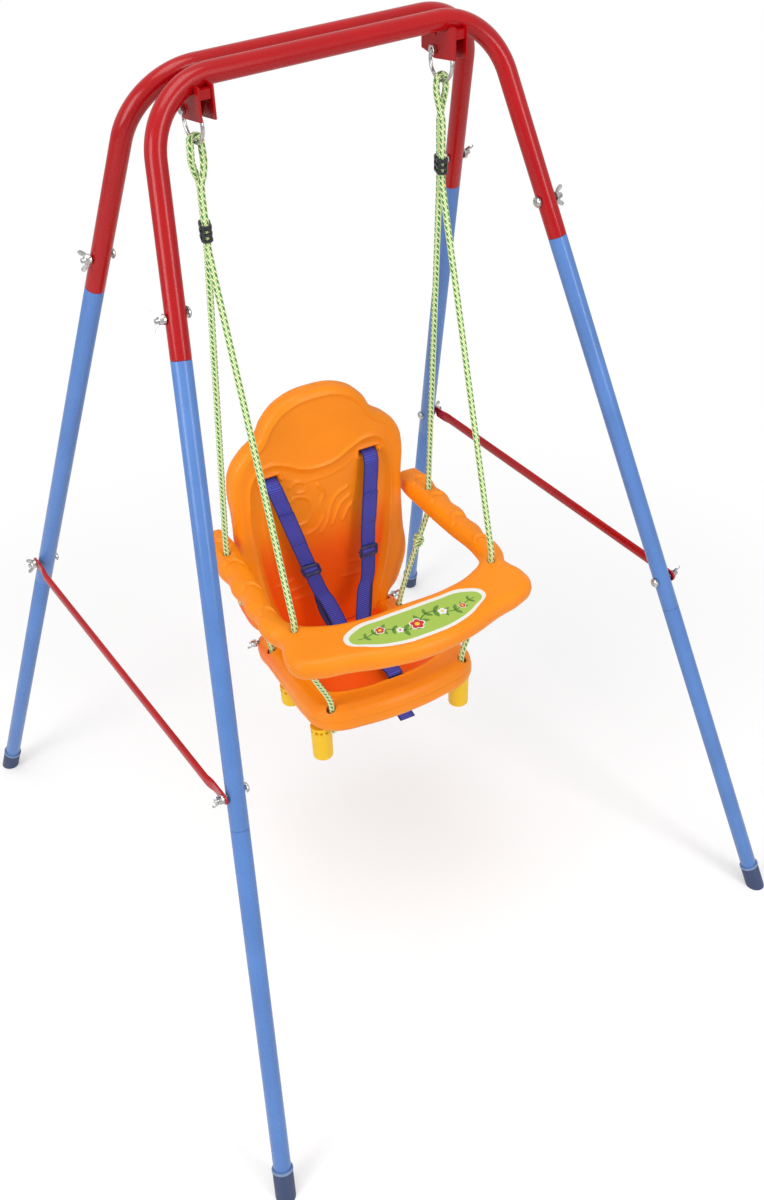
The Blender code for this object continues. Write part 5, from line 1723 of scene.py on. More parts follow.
def swept_ridge(places: Array, points: Loop, width: float) -> Array:
    """Gives a rounded ridge of height one along a smooth open line through flat points."""
    return bead(line_distance(places, smooth_path(points, 0.002)), width)


@dataclass
class Guard:
    """The U-shaped guard with its tray, and the printed film on it."""

    seat: SeatPlan
    finishes: Finishes
    half_width: float = 0.169
    front: float = -0.240
    rear: float = 0.111
    arm_width: float = 0.037
    tray_depth: float = 0.088
    scallop_depth: float = 0.0034
    scallops: int = 5
    rounding: float = 0.0128
    bore: float = 0.0047
    film_half_length: float = 0.098
    film_depth: float = 0.060
    film_rise: float = 0.0003

    def outline(self) -> Outline:
        """Draws the guard from above: the tray, the ears, the scalloped arms and the opening."""
        outer, inner = self.half_width, self.half_width - self.arm_width
        ear, tray = self.front + 0.055, self.front + self.tray_depth
        start, end = ear + 0.062, self.rear - 0.016
        arm = []
        for index in range(2 * self.scallops + 1):
            bulge = self.scallop_depth if index % 2 else 0.0
            arm.append((outer - 0.001 + bulge, start + (end - start) * index / (2 * self.scallops)))
        return Outline([
            (0.0, self.front), (outer * 0.35, self.front + 0.008), (outer * 0.62, self.front + 0.022),
            (outer * 0.84, self.front + 0.031), (outer * 0.975, ear - 0.010), (outer, ear + 0.014),
            (outer * 0.955, ear + 0.048),
            *arm,
            (outer - 0.005, self.rear - 0.003), (outer - self.arm_width / 2, self.rear),
            (inner + 0.004, self.rear - 0.002), (inner, self.rear - 0.015), (inner, 0.040),
            (inner + 0.004, -0.030), (inner + 0.009, tray + 0.062), (inner + 0.002, tray + 0.034),
            (inner - 0.028, tray + 0.012), (inner - 0.070, tray + 0.001), (0.0, tray),
        ])

    @property
    def film_middle(self) -> float:
        """How far back the film's middle lies."""
        return self.front + self.tray_depth / 2 - 0.002

    def holes(self) -> Loop:
        """Lists the four rope holes."""
        seat = self.seat
        return [(side * x, y) for side in SIDES for x, y in (seat.guard_front_hole, seat.guard_rear_hole)]

    def top_relief(self, x: Array, y: Array) -> Array:
        """Gives the crescents on the arms and the dishes round the holes."""
        places, outer = np.stack([x, y], axis=1), self.half_width
        rise = sum(hole_dish(places, middle, self.bore, 0.0016) for middle in self.holes())
        for side in SIDES:
            for level in (0.078, 0.030, -0.027, -0.084):
                crescent = ((0.0065, -0.001), (0.0150, 0.0035), (0.0220, 0.0010), (0.0275, -0.0090))
                line = [(side * (outer - inset), level + lift) for inset, lift in crescent]
                near = np.abs(places[:, 1] - level) < 0.02
                edge = swept_ridge(places[near], [(px, py - 0.0042) for px, py in line], 0.0030)
                rise[near] += 0.0026 * swept_ridge(places[near], line, 0.0021) - 0.0016 * edge
        return rise

    def film_loop(self) -> Loop:
        """Lists the right half of the film, a lens with a flatter edge toward the child."""
        middle, half, reach = self.film_middle, self.film_depth / 2, self.film_half_length
        shares = ((0, -1), (0.45, -0.86), (0.80, -0.35), (1, 0.30), (0.80, 0.92), (0.40, 1), (0, 1))
        return [(reach * across, middle + half * along) for across, along in shares]

    def build(self) -> None:
        """Builds the guard, its seam and the film."""
        seat, finishes = self.seat, self.finishes
        place = seat.matrix @ Matrix.Translation((0.0, 0.0, seat.guard_top - seat.guard_thickness / 2))
        form = (seat.guard_thickness, self.rounding, 0.0013)
        below = seat.guard_top - 0.05
        cutters = [rod(seat.place(x, y, below), Z_AXIS, self.bore, 0.1) for x, y in self.holes()]
        mould = Mould("guard", self.outline(), *form, place, Body.GUARD)
        mould.build([self.top_relief], cutters, finishes.orange, finishes.orange, 55.0)
        self.film()

    def stem(self, along: float) -> Array:
        """Gives a flat place on the film's vine, by its share of the film's half length."""
        swell = (1.0 - along * along) * 0.15 * self.film_depth
        level = self.film_middle + 0.10 * self.film_depth * along**2 + swell * math.sin(along * 7.5)
        return np.array([along * self.film_half_length * 0.86, level])

    def film(self) -> None:
        """Builds the printed film: a pale lens, a green field, a vine with leaves, and flowers."""
        seat, finishes, middle = self.seat, self.finishes, self.film_middle
        place = seat.matrix @ Matrix.Translation((0.0, 0.0, seat.guard_top + self.film_rise))
        lens = Outline(self.film_loop()).points
        shell, level = Shell(), 0.00030
        ink = level + 0.00010
        shell.plate(lens, 0.0, level, place, Ink.WHITE)
        field = (lens - [0.0, middle + 0.001]) * [0.935, 0.815] + [0.0, middle + 0.0006]
        shell.plate(field, level * 0.5, level + 0.00005, place, Ink.GREEN)
        vine = Line([(*self.stem(a), 0.0) for a in np.linspace(-0.97, 0.97, 90)])
        where = vine.at(np.linspace(0.0, vine.length, 60))[0][:, :2]
        way = units(np.gradient(where, axis=0))
        across = np.stack([-way[:, 1], way[:, 0]], axis=1)
        across *= (0.0007 + 0.0004 * np.sin(np.linspace(0.0, math.pi, 60)))[:, None]
        shell.plate(np.vstack([where + across, (where - across)[::-1]]), level, ink, place, Ink.LEAF)
        for index, along in enumerate(np.linspace(-0.86, 0.86, 13)):
            root, ahead = self.stem(along), self.stem(along + 0.02)
            heading = math.atan2(*(ahead - root)[::-1])
            for way_out in SIDES:
                size = 0.0130 * (1.0 - 0.45 * along * along) * (1.0 if (index + way_out) % 2 else 0.8)
                shell.plate(self.leaf(root, heading + way_out * 1.05, size), level, ink, place, Ink.LEAF)
        for along, size, *inks in (
            (-0.60, 0.0070, Ink.RED, Ink.YELLOW),
            (-0.06, 0.0105, Ink.RED, Ink.YELLOW),
            (0.40, 0.0062, Ink.WHITE, Ink.YELLOW),
            (0.72, 0.0050, Ink.RED, Ink.YELLOW),
            (-0.34, 0.0050, Ink.WHITE, Ink.RED),
        ):
            self.flower(shell, self.stem(along), size, ink, place, inks)
        settle(shell.made("guard_film", *finishes.film), Body.GUARD, "guard_decal")

    def leaf(self, root: Array, heading: float, size: float) -> Array:
        """Draws one leaf's flat outline from its root, by its direction in radians and its length."""
        flat = np.array([(0.0, 0.0), (0.28, 0.21), (0.62, 0.23), (1.0, 0.0), (0.62, -0.20), (0.28, -0.19)])
        turn = np.array([[math.cos(heading), -math.sin(heading)], [math.sin(heading), math.cos(heading)]])
        return smooth_path(flat * size, size / 12, closed=True) @ turn.T + root

    def flower(
        self, shell: Shell, middle: Array, size: float, low: float, place: Matrix, inks: Sequence[Ink]
    ) -> None:
        """Adds a five-petalled flower on a pale ground.

        Args:
            shell: the film.
            middle: the flower's middle.
            size: its radius.
            low: the level that it lies on.
            place: how the flat film is moved to its place.
            inks: the inks of its petals and of its heart.
        """
        angles = turns(80)
        petals = 0.70 + 0.30 * np.abs(np.cos(2.5 * angles))
        spokes = np.stack([np.cos(angles), np.sin(angles)], axis=1)
        for index, (share, ink) in enumerate(zip((1.0, 0.84, 0.30), (Ink.WHITE, *inks))):
            radius = size * share * (petals if index < 2 else np.ones(len(angles)))
            high = low + 0.00004 * (index + 1)
            shell.plate(middle + spokes * radius[:, None], low - 0.00005, high, place, ink)


@dataclass
class Backrest:
    """The back shell: a head dome, a sunk panel below a wave, two strap slots and embossed scrolls."""

    seat: SeatPlan
    finishes: Finishes
    half_width: float = 0.127
    foot_half_width: float = 0.0975
    rounding: float = 0.0105
    recess: float = 0.007
    slot_x: float = 0.073
    slot_z: float = 0.633
    slot_width: float = 0.026
    slot_height: float = 0.0075
    bolt_y: float = 0.089
    bolt_z: float = 0.357
    bolt_depth: float = 0.016
    bolt: float = 0.0028

    def outline(self) -> Outline:
        """Draws the back from the front, from the bottom up to the top of the head dome."""
        wide, foot = self.half_width, self.foot_half_width
        low, top = self.seat.back_bottom, self.seat.back_top
        return Outline([
            (0.0, low), (foot * 0.80, low), (foot, low + 0.012), (wide * 0.80, low + 0.030),
            (wide * 0.90, low + 0.046), (wide * 0.965, low + 0.066), (wide * 1.03, low + 0.098),
            (wide, low + 0.150), (wide * 0.985, low + 0.230), (wide, low + 0.284),
            (wide * 0.955, low + 0.310), (wide * 0.83, low + 0.331), (wide * 0.655, top - 0.052),
            (wide * 0.56, top - 0.031), (wide * 0.36, top - 0.009), (0.0, top),
        ])

    def panel(self) -> Outline:
        """Draws the sunk panel, with the wave of the headrest along its top edge."""
        wide, low = self.half_width - 0.024, self.seat.back_bottom
        return Outline([
            (0.0, low - 0.030), (wide * 0.66, low - 0.030), (wide * 0.72, low + 0.030),
            (wide * 0.86, low + 0.090), (wide * 0.98, low + 0.180), (wide, low + 0.256),
            (wide * 0.90, low + 0.300), (wide * 0.71, low + 0.310), (wide * 0.48, low + 0.303),
            (wide * 0.24, low + 0.290), (0.0, low + 0.286),
        ])

    def scrolls(self) -> list[list[tuple[float, float]]]:
        """Lists the lines of the scrolls embossed on the panel."""
        return [
            [(-0.046, 0.612), (-0.034, 0.618), (-0.022, 0.610), (-0.024, 0.600), (-0.034, 0.600)],
            [
                (-0.050, 0.588), (-0.036, 0.594), (-0.020, 0.586),
                (-0.014, 0.566), (-0.022, 0.548), (-0.038, 0.546),
            ],
            [
                (-0.004, 0.604), (0.004, 0.588), (-0.002, 0.570),
                (0.002, 0.550), (-0.008, 0.532), (-0.024, 0.526),
            ],
            [(0.040, 0.586), (0.024, 0.578), (0.014, 0.562), (0.010, 0.542), (-0.002, 0.522)],
            [(0.042, 0.570), (0.030, 0.562), (0.022, 0.546), (0.016, 0.530)],
            [(0.046, 0.556), (0.038, 0.546), (0.032, 0.532)],
        ]

    def front_relief(self, outline: Outline, panel: Outline, x: Array, z: Array) -> Array:
        """Adds up the front's panel, its bead, the dome's ledge, the slot rims, the scrolls and the folds.

        Args:
            outline: the back's outline.
            panel: the sunk panel's outline.
            x: how far across each place lies.
            z: its height.

        Returns:
            How far the front rises there.
        """
        places = np.stack([x, z], axis=1)
        edge, sunk = outline.inside(places), panel.inside(places)
        depth = 0.0034 + (self.recess - 0.0034) * (1.0 - ease(0.505, 0.610, z))
        rise = -depth * ease(-0.0005, 0.0095, sunk)
        rise += 0.0025 * bead(sunk + 0.0018, 0.0022)
        upper = ease(0.655, 0.690, z)
        rise -= 0.0016 * ease(0.0095, 0.0135, edge) * upper
        rise += 0.0009 * bead(edge - 0.0088, 0.0016) * upper
        rise += 0.0009 * bead(sunk - 0.0190, 0.0024) * (1.0 - ease(0.610, 0.640, z)) * ease(0.43, 0.47, z)
        for side in SIDES:
            off = np.abs(places - [side * self.slot_x, self.slot_z])
            off -= [self.slot_width / 2, self.slot_height / 2]
            around = np.linalg.norm(np.maximum(off, 0.0), axis=1) + np.minimum(off.max(axis=1), 0.0)
            rise += 0.0026 * bead(around - 0.0034, 0.0018) - 0.0010 * (1.0 - ease(-0.0005, 0.0022, around))
            boss = [side * self.slot_x + self.slot_width / 2 + 0.0052, self.slot_z - 0.001]
            rise += 0.0024 * bead(np.linalg.norm(places - boss, axis=1), 0.0036)
        for line in self.scrolls():
            low, high = min(p[1] for p in line) - 0.01, max(p[1] for p in line) + 0.01
            near = (z > low) & (z < high) & (np.abs(x) < 0.065)
            rise[near] += 0.0022 * swept_ridge(places[near], line, 0.0022)
        for level, tilt, start, end in (
            (0.452, 0.10, -0.082, -0.040),
            (0.436, 0.06, -0.070, -0.018),
            (0.420, 0.02, -0.060, -0.010),
            (0.455, -0.12, 0.034, 0.082),
            (0.434, -0.08, 0.020, 0.072),
        ):
            along = ease(start, start + 0.012, x) * (1.0 - ease(end - 0.012, end, x))
            rise += 0.0016 * bead(z - level - tilt * (x - start), 0.0026) * along
        return rise

    def build(self) -> None:
        """Builds the back and its seam."""
        seat, finishes, outline, panel = self.seat, self.finishes, self.outline(), self.panel()
        middle = Matrix.Translation((0.0, seat.back_y + seat.back_thickness / 2, 0.0))
        place = seat.matrix @ middle @ Matrix.Rotation(math.pi / 2, 4, "X")
        reliefs = [
            lambda x, z: self.front_relief(outline, panel, x, z),
            lambda x, z: -0.003 * ease(0.018, 0.030, outline.inside(np.stack([x, z], axis=1))),
        ]
        cutters = []
        half = np.array([[-1, -1], [1, -1], [1, 1], [-1, 1]]) * [self.slot_width / 2, self.slot_height / 2]
        for side in SIDES:
            loop = half + [side * self.slot_x, self.slot_z]
            cutters.append(slab(loop, -seat.back_thickness, seat.back_thickness, place))
            tip = seat.place(side * (self.foot_half_width - self.bolt_depth - GAP), self.bolt_y, self.bolt_z)
            cutters.append(rod(tip, seat.place(side, 0.0, 0.0), self.bolt + GAP, 0.1, 24))
        mould = Mould("backrest", outline, seat.back_thickness, self.rounding, 0.0014, place)
        # The back takes the orange with painted shade in its sunk panel.
        mould.build(reliefs, cutters, finishes.back_orange_painted_shade, finishes.orange)


@dataclass
class SeatBase:
    """The sloped base with its thick lip and sunk pan, its wing bolts and its yellow feet."""

    seat: SeatPlan
    hardware: Hardware
    finishes: Finishes
    half_width: float = 0.122
    ear_half_width: float = 0.1105
    rounding: float = 0.0150
    pan_rim: float = 0.029
    pan_lip: float = 0.048
    bore: float = 0.0062
    notch_clearance: float = 0.0025
    crotch_slot: float = 0.0072
    strap_width: float = 0.0225
    buckle_x: float = 0.013
    crotch_x: float = 0.005
    bolt_depth: float = 0.016
    bolt_y: float = 0.089
    bolt_z: float = 0.357
    back_foot: float = 0.0975

    @property
    def place(self) -> Matrix:
        """How the flat base is moved to its sloped place."""
        seat = self.seat
        slope = Matrix.Rotation(-seat.base_tilt, 4, "X")
        front = Matrix.Translation((0.0, seat.base_front_y, seat.base_front_top))
        return seat.matrix @ front @ slope @ Matrix.Translation((0.0, 0.0, -seat.base_thickness / 2))

    def outline(self) -> Outline:
        """Draws the base square to its sloped top, from the front edge to the rear one."""
        wide, ear, length = self.half_width, self.ear_half_width, self.seat.base_length
        return Outline([
            (0.0, 0.0), (wide * 0.50, 0.006), (wide * 0.82, 0.018), (wide * 0.97, 0.040), (wide, 0.075),
            (wide * 0.97, length / 2), (ear * 1.02, length - 0.055), (ear, length - 0.020),
            (ear * 0.92, length - 0.004), (ear * 0.74, length), (0.0, length),
        ])

    def pan(self) -> Outline:
        """Draws the sunk pan, which runs out under the back."""
        wide, length = self.half_width - self.pan_rim, self.seat.base_length
        rear = length + 0.01
        return Outline([
            (0.0, self.pan_lip - 0.006), (wide * 0.60, self.pan_lip), (wide * 0.92, self.pan_lip + 0.018),
            (wide * 0.96, self.pan_lip + 0.060), (wide * 0.84, length * 0.62), (wide * 0.82, rear),
            (wide * 0.60, rear + 0.04), (0.0, rear + 0.05),
        ])

    def holes(self) -> list[tuple[float, float]]:
        """Lists the four rope holes, in the seat's axes."""
        seat = self.seat
        return [(side * x, y) for side in SIDES for x, y in (seat.base_front_hole, seat.base_rear_hole)]

    def relief(self, pan: Outline, x: Array, y: Array) -> Array:
        """Sinks the pan, beads its border and dishes the rope holes.

        Args:
            pan: the pan's outline.
            x: how far across each place lies.
            y: how far back it lies on the flat base.

        Returns:
            How far the top rises there.
        """
        seat, places = self.seat, np.stack([x, y], axis=1)
        sunk = pan.inside(places)
        rise = -seat.pan_depth * ease(-0.002, 0.0125, sunk) + 0.0010 * bead(sunk + 0.0040, 0.0030)
        for hole_x, hole_y in self.holes():
            middle = (hole_x, (hole_y - seat.base_front_y) / math.cos(seat.base_tilt))
            rise += hole_dish(places, middle, self.bore, 0.0015)
        for level in (0.150, 0.172, 0.194):
            rise += 0.0007 * bead(y - level, 0.0030) * ease(0.020, 0.034, sunk)
        return rise

    def build(self) -> None:
        """Builds the base, its seam, its bolts and its feet."""
        pan, finishes, thick = self.pan(), self.finishes, self.seat.base_thickness
        mould = Mould("seat_base", self.outline(), thick, self.rounding, 0.0014, self.place)
        reliefs = [lambda x, y: self.relief(pan, x, y)]
        # The base takes the orange with painted shade in its pan.
        mould.build(reliefs, self.cutters(), finishes.base_orange_painted_shade, finishes.orange)
        for side in SIDES:
            self.wing_bolt(side)
            for row in ROWS:
                self.foot(side, row)

    def cutters(self) -> list[Piece]:
        """Builds the forms of the rope holes, the bolt holes, the strap slot and the notch for the back."""
        seat, radius = self.seat, self.hardware.bolt + GAP
        forms = [rod(seat.place(x, y, 0.25), Z_AXIS, self.bore, 0.25) for x, y in self.holes()]
        for side in SIDES:
            start = seat.place(side * self.back_foot * 0.5, self.bolt_y, self.bolt_z)
            forms.append(rod(start, seat.place(side, 0.0, 0.0), radius, 0.2, 24))
        half = self.back_foot + self.notch_clearance
        middle = seat.base_front_y + self.pan_lip - self.crotch_slot
        across, along = self.strap_width / 2 + 4 * GAP, self.crotch_slot / 2
        for left, right, front, rear, low in (
            (-half, half, seat.back_y - GAP, seat.back_y + 0.1, 0.2),
            (self.crotch_x - across, self.crotch_x + across, middle - along, middle + along, 0.3),
        ):
            loop = [(left, front), (right, front), (right, rear), (left, rear)]
            forms.append(slab(loop, low, 0.5, seat.matrix))
        return forms

    def wing_bolt(self, side: int) -> None:
        """Builds the wing bolt that holds the back in the base."""
        seat, hardware = self.seat, self.hardware
        way, rise = seat.place(side, 0.0, 0.0), hardware.nut_height * 0.9
        outside = seat.place(side * (self.ear_half_width + 4 * GAP), self.bolt_y, self.bolt_z)
        tip = seat.place(side * (self.back_foot - self.bolt_depth), self.bolt_y, self.bolt_z)
        shell = Shell()
        hardware.wing_nut(shell, outside, way, 0.5 * side)
        hardware.thread(shell, outside + way * rise, -way, float(np.linalg.norm(outside - tip)) + rise)
        name = f"{side_word(side)}_seat_bolt"
        settle(shell.made(f"{name}_set", self.finishes.steel, sharp=30.0), Body.SWING, name)

    def foot(self, side: int, row: int) -> None:
        """Builds a yellow foot: a tapered stub with a notched collar, cut to the base's slope."""
        seat, sides = self.seat, 96
        x, y = seat.front_foot if row < 0 else seat.rear_foot
        height = seat.base_surface(y, seat.base_thickness) - seat.foot_bottom
        radius, taper, rim, collar = seat.foot_radius, seat.foot_taper, 0.985, height - 0.0095
        profile = [(taper - 0.07, 0.0), (taper - 0.02, 0.0005), (taper, 0.0018)]
        profile += zip(np.linspace(taper, taper + 0.028, 6), np.linspace(0.004, collar - 0.0012, 6))
        profile += [(taper + 0.03, collar), (rim, collar + 0.0008)]
        profile += [(rim, collar + rise) for rise in (0.0016, 0.0020, 0.0066, 0.0070)]
        profile.append((rim, height + 2 * radius * math.tan(seat.base_tilt)))
        radii, levels = np.array(profile).T
        windows = np.floor(turns(sides) / math.tau * 24) % 2 == 0
        rows = (levels > collar + 0.0018) & (levels < collar + 0.0068)
        grid = radius * (radii[:, None] - 0.22 * windows * rows[:, None])
        centres = np.array([x * side, y, seat.foot_bottom]) + Z_AXIS * levels[:, None]
        axes = (axis * np.ones((len(levels), 1)) for axis in (X_AXIS, np.cross(Z_AXIS, X_AXIS)))
        points = round_rings(centres, *axes, grid, sides)
        limit = seat.base_surface(points[..., 1], seat.base_thickness) - 1.5 * GAP
        points[..., 2] = np.minimum(points[..., 2], limit)
        shell = Shell()
        shell.sweep(seat.turned(points))
        name = f"{row_word(row)}_{side_word(side)}_seat_foot"
        settle(shell.made(f"{name}_moulding", self.finishes.yellow, sharp=35.0), Body.SWING, name)


# The harness


@dataclass
class Harness:
    """The webbing straps, their sliders and the buckle."""

    seat: SeatPlan
    back: Backrest
    base: SeatBase
    finishes: Finishes
    width: float = 0.0225
    thickness: float = 0.0018
    stand: float = 0.012
    slope: float = 0.13
    tail: float = 0.034
    tail_lean: float = 0.011
    slider_z: float = 0.485
    slider_height: float = 0.018
    slider_wall: float = 0.0028
    slider_travel: float = 0.018
    buckle_width: float = 0.052
    buckle_length: float = 0.040
    buckle_thickness: float = 0.012
    buckle_y: float = -0.034
    buckle_z: float = 0.398
    step: float = 0.0005
    rib: float = 0.0030

    def slider_x(self, side: int) -> float:
        """Gives how far across a slider lies."""
        return -0.033 if side < 0 else 0.057

    @property
    def low(self) -> float:
        """The lower end of a slider's travel."""
        return self.slider_z - self.slider_height - self.slider_travel

    @property
    def high(self) -> float:
        """The upper end of a slider's travel."""
        return self.slider_z + self.slider_height + self.slider_travel

    def strap_x(self, side: int, z: float) -> float:
        """Gives how far across the middle of a shoulder strap lies at a height."""
        start, bend = side * self.back.slot_x, self.low
        lean = (self.slider_x(side) - start) / (self.back.slot_z - self.slider_z)
        if z >= bend:
            return start + lean * max(self.back.slot_z - z, 0.0)
        turn = start + lean * (self.back.slot_z - bend)
        end = self.base.buckle_x + side * (self.buckle_width / 2 - self.width / 2)
        return turn + (end - turn) * min((bend - z) / (bend - self.buckle_z), 1.0)

    def strap_line(self) -> Loop:
        """Lists the shoulder straps' middle from the side, from the slot down and forward to the buckle."""
        seat, low, high, top = self.seat, self.low, self.high, self.back.slot_z
        face = seat.back_y - self.thickness
        upper = face - self.stand
        lower = upper - self.slope * (high - low)
        pan = seat.base_surface(0.02, seat.pan_depth) + 0.006
        rear = self.buckle_y + self.buckle_length / 2 + GAP
        return [
            (seat.back_y + seat.back_thickness + 0.004, top), (face + 0.003, top),
            (face - 0.004, top - 0.006), (face - 0.008, top - 0.022), (upper, high), (lower, low),
            (lower - 0.007, low - 0.022), (0.020, pan + 0.010), (0.008, pan + 0.006),
            (rear + 0.008, self.buckle_z), (rear, self.buckle_z),
        ]

    def ribbon(
        self, shell: Shell, points: Array, width: float, thickness: Array | float, lift: Array | float = 0.0,
        slot: int = 0,
    ) -> None:
        """Adds a ribbed strap along its middle line, level across its width.

        Args:
            shell: the piece that it is part of.
            points: its middle line, in the seat's axes.
            width: how wide it is.
            thickness: how thick it is over its ribs, or its thicknesses at even places along it.
            lift: how far it stands off its middle line, square to its face, or the same at even places.
            slot: which of the piece's finishes it has.
        """
        reach = np.concatenate([[0.0], np.cumsum(np.linalg.norm(np.diff(points, axis=0), axis=1))])
        distances = np.linspace(0.0, reach[-1], max(4, round(reach[-1] / self.step)))
        middle = np.stack([np.interp(distances, reach, points[:, axis]) for axis in range(3)], axis=1)
        face = units(np.cross(X_AXIS, np.gradient(middle, axis=0)))
        thickness, lift = (
            np.interp(distances, np.linspace(0.0, reach[-1], np.size(value)), np.atleast_1d(value))[:, None]
            for value in (thickness, lift)
        )
        angles, wave = turns(28), (distances / self.rib * math.tau)[:, None]
        across, depth = flattened(np.cos(angles), 0.28), flattened(np.sin(angles), 0.55)
        rib = 1.0 - 0.10 * (0.5 - 0.5 * np.cos(wave))
        half = width / 2 * (1.0 - 0.006 * (1.0 + np.sin(wave)))
        rings = (middle + face * lift)[:, None] + X_AXIS * (across * half)[:, :, None]
        rings += face[:, None] * (depth * (rib * thickness / 2))[:, :, None]
        shell.sweep(self.seat.turned(rings), slot, lengths=distances)

    def shoulder(self, side: int) -> None:
        """Builds a shoulder strap with its folded, sewn end and the slack behind its lower run."""
        path = smooth_path([(self.strap_x(side, z), y, z) for y, z in self.strap_line()], 0.003)
        shell = Shell()
        self.ribbon(shell, path, self.width, self.thickness)
        sewn = 0.585 if side < 0 else 0.578
        upper = path[(path[:, 2] < sewn) & (path[:, 2] > self.high)]
        settled = ease(0.0, 0.25, np.linspace(1.0, 0.0, 40))
        self.ribbon(shell, upper, self.width * 1.035, 0.0012 * settled + 0.0003, -0.0013 * settled - 0.0001)
        for drop in (0.0012, 0.0042, 0.0125):
            self.stitches(shell, side, path, sewn - drop)
        slack = path[(path[:, 2] < self.low - 0.002) & (path[:, 1] > 0.012)].copy()
        bow = np.sin(np.linspace(0.0, math.pi, len(slack)))
        slack[:, 0] += bow * (-0.0075 if side < 0 else 0.0050)
        bow *= 0.0050 if side < 0 else 0.0030
        # The slack takes the darker slack webbing, a painted shade for the shadow it lies in.
        self.ribbon(shell, slack, self.width, self.thickness * 0.9, bow + self.thickness * 0.3, 2)
        name = f"{side_word(side)}_shoulder_strap"
        finishes = (self.finishes.webbing, self.finishes.thread, self.finishes.slack)
        settle(shell.made(f"{name}_webbing", *finishes, sharp=60.0), Body.SWING, name)

    def stitches(self, shell: Shell, side: int, path: Array, level: float) -> None:
        """Adds a row of stitches across a strap.

        Args:
            shell: the strap.
            side: the strap's side.
            path: its middle line, in the seat's axes.
            level: the height of the row.
        """
        order = np.argsort(path[:, 2])
        y = float(np.interp(level, path[order, 2], path[order, 1])) - self.thickness / 2 - 0.0016
        middle, count, pitch, half = self.strap_x(side, level), 8, 0.0021, 0.0007
        for index in range(count):
            x = middle + (index - (count - 1) / 2) * pitch
            ends = np.array([(x - half, y, level), (x, y - 0.0002, level), (x + half, y, level)])
            shell.tube(self.seat.turned(ends), (0.0002, 0.0003, 0.0002), 8, 1)

    def slider(self, side: int) -> None:
        """Builds a slider: a rounded frame with a middle bar, and the webbing's turn over that bar."""
        points = self.strap_line()
        ends = [np.array((self.strap_x(side, z), y, z)) for y, z in (points[4], points[5])]
        middle, way = (ends[0] + ends[1]) / 2, unit(ends[0] - ends[1])
        lie = unit(np.cross(way, X_AXIS))
        along = np.cross(X_AXIS, lie)
        shear = float(way @ X_AXIS) / float(way @ along)
        toward = 1.0 if float(lie[1]) > 0 else -1.0
        half_width = self.width / 2 + GAP + self.slider_wall / 2 + 0.0002
        half_height, bar, corner = self.slider_height / 2 - 0.0013, 0.0014, 0.0030

        def placed(across: Array, up: Array, off: Array) -> Array:
            """Takes places across, along and off the strap's face to the seat's axes."""
            across, up, off = (row[:, None] for row in np.broadcast_arrays(across, up, off))
            return middle + X_AXIS * (across + shear * up) + along * up + lie * (toward * off)

        shell, seat = Shell(), self.seat
        loop = []
        for x, z, start in ((1, 1, 0), (-1, 1, 90), (-1, -1, 180), (1, -1, 270)):
            hub = (x * (half_width - corner), z * (half_height - corner))
            loop += arc(hub, corner, start, start + 90, 8)
        out = -(self.thickness / 2 + bar)
        for inset in (0.0, 0.0012, 0.0024):
            shrunk = np.array(loop) * (1.0 - inset / np.array([half_width * 4, half_height]))
            shell.wire(seat.turned(placed(*shrunk.T, out - 0.0001)), bar, 16)
        reach = np.linspace(-half_width, half_width, 12)
        shell.tube(seat.turned(placed(reach, 0.0, self.thickness / 2 + 0.0007)), 0.0010, 12)
        for way_out in SIDES:
            shell.tube(seat.turned(placed(way_out * half_width, 0.0, np.array([out, 0.0017]))), 0.0012, 12)
        turn = np.linspace(-1.0, 1.0, 17)
        rise = -(self.thickness / 2 + 0.0006 + 0.0016 * np.cos(turn * math.pi / 2))
        route = placed(0.0, turn * (half_height - 0.0034), rise)
        self.ribbon(shell, route[::-1], self.width * 0.99, 0.0012, 0.0, 1)
        name = f"{side_word(side)}_strap_slider"
        settle(shell.made(f"{name}_frame", self.finishes.navy, self.finishes.webbing, sharp=50.0), name, name)

    def crotch_strap(self) -> None:
        """Builds the strap from the buckle over the pan, down through its slot, with its end left hanging."""
        seat, base = self.seat, self.base
        slot_y, slot_x = seat.base_front_y + base.pan_lip - base.crotch_slot, base.crotch_x
        front = self.buckle_y - self.buckle_length / 2 - GAP
        middle = slot_y + base.crotch_slot / 2 - self.thickness / 2 - 1.5 * GAP
        top, under = seat.base_surface(slot_y), seat.base_surface(slot_y, seat.base_thickness)
        path = smooth_path([
            (base.buckle_x, front, self.buckle_z),
            (base.buckle_x - 0.001, front - 0.008, self.buckle_z + 0.001),
            (slot_x, middle + 0.017, top + 0.0010), (slot_x, middle + 0.008, top + 0.0026),
            (slot_x, middle + 0.0022, top + 0.0025), (slot_x, middle + 0.0001, top + 0.0008),
            (slot_x, middle, top - 0.004), (slot_x, middle, under - 0.004),
            (slot_x + 0.4 * self.tail_lean, middle - 0.004, under - 0.47 * self.tail),
            (slot_x + self.tail_lean, middle - 0.014, under - self.tail),
        ], 0.002)
        shell = Shell()
        self.ribbon(shell, path, self.width, self.thickness)
        hem = path[path[:, 2] < under - self.tail + 0.0105]
        self.ribbon(shell, hem, self.width * 1.01, 0.0012, 0.0014)
        name = "crotch_strap"
        settle(shell.made(f"{name}_webbing", self.finishes.webbing, sharp=60.0), Body.SWING, name)

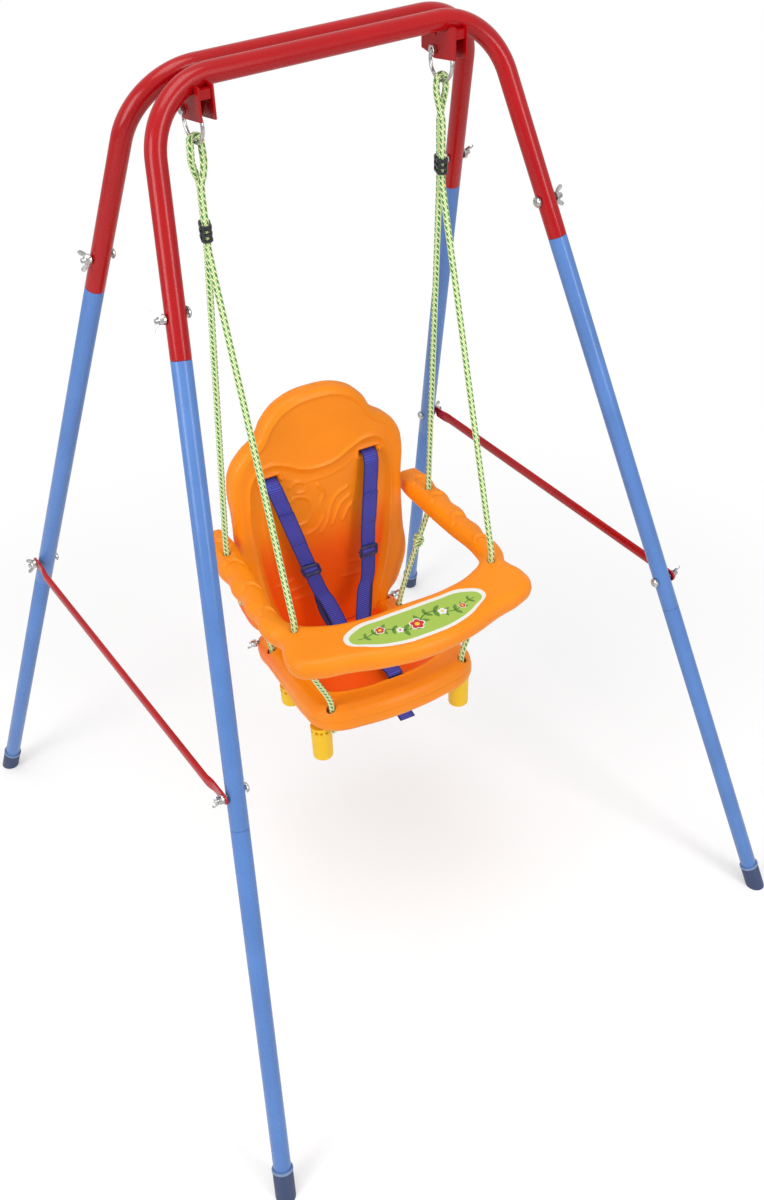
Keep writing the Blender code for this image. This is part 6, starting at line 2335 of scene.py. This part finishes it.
    def buckle(self) -> None:
        """Builds the buckle: a rounded case with a raised button and ridges for the grip."""
        wide, length, thick = self.buckle_width / 2, self.buckle_length / 2, self.buckle_thickness
        case = [(0, -1), (0.62, -1), (0.94, -0.84), (1, -0.5), (0.9, 0), (1, 0.52), (0.94, 0.88)]
        case += [(0.6, 1), (0, 1)]
        button = ((0, -0.52), (0.34, -0.40), (0.40, 0), (0.34, 0.40), (0, 0.52))
        piece, press = (
            Outline([(wide * x, length * y) for x, y in shape]).solid(name, thick * high, thick * soft)
            for shape, name, high, soft in (
                (case, "harness_buckle_case", 0.92, 0.30),
                (button, "button", 0.96, 0.14),
            )
        )
        press.data.transform(Matrix.Translation((0.0, 0.0, thick * 0.02)))
        for target, finish in ((piece, self.finishes.navy), (press, self.finishes.black)):
            target.data.materials.clear()
            target.data.materials.append(finish)
        ridges, level = Shell(), thick * 0.455
        for side in SIDES:
            for index in range(5):
                y = (index - 2) * length * 0.22
                ridges.tube([(side * wide * 0.60, y, level), (side * wide * 0.84, y, level)], 0.0006, 10)
        for other in (press, ridges.made("grips", self.finishes.navy, sharp=60.0)):
            with bpy.context.temp_override(active_object=piece, selected_editable_objects=[piece, other]):
                bpy.ops.object.join()
        place = self.seat.matrix @ Matrix.Translation((self.base.buckle_x, self.buckle_y, self.buckle_z))
        piece.data.transform(place)
        soften(piece.data, 40.0)
        settle(piece, Body.SWING, "harness_buckle")

    def build(self) -> None:
        """Builds the whole harness."""
        for side in SIDES:
            self.shoulder(side)
            self.slider(side)
        self.crotch_strap()
        self.buckle()


def main() -> None:
    """Builds the studio and every piece."""
    logging.basicConfig(level=logging.INFO, format="%(message)s")
    finishes = Finishes()
    plan, seat = FramePlan(), SeatPlan()
    Studio().build()
    Ropes(plan, seat, finishes).build()
    TubeFrame(plan, finishes).build()
    braces = Braces(plan, finishes)
    braces.build()
    hardware = Hardware(plan, braces, finishes)
    hardware.build()
    Guard(seat, finishes).build()
    back = Backrest(seat, finishes)
    back.build()
    base = SeatBase(seat, hardware, finishes)
    base.build()
    Harness(seat, back, base, finishes).build()


if __name__ == "__main__":
    main()
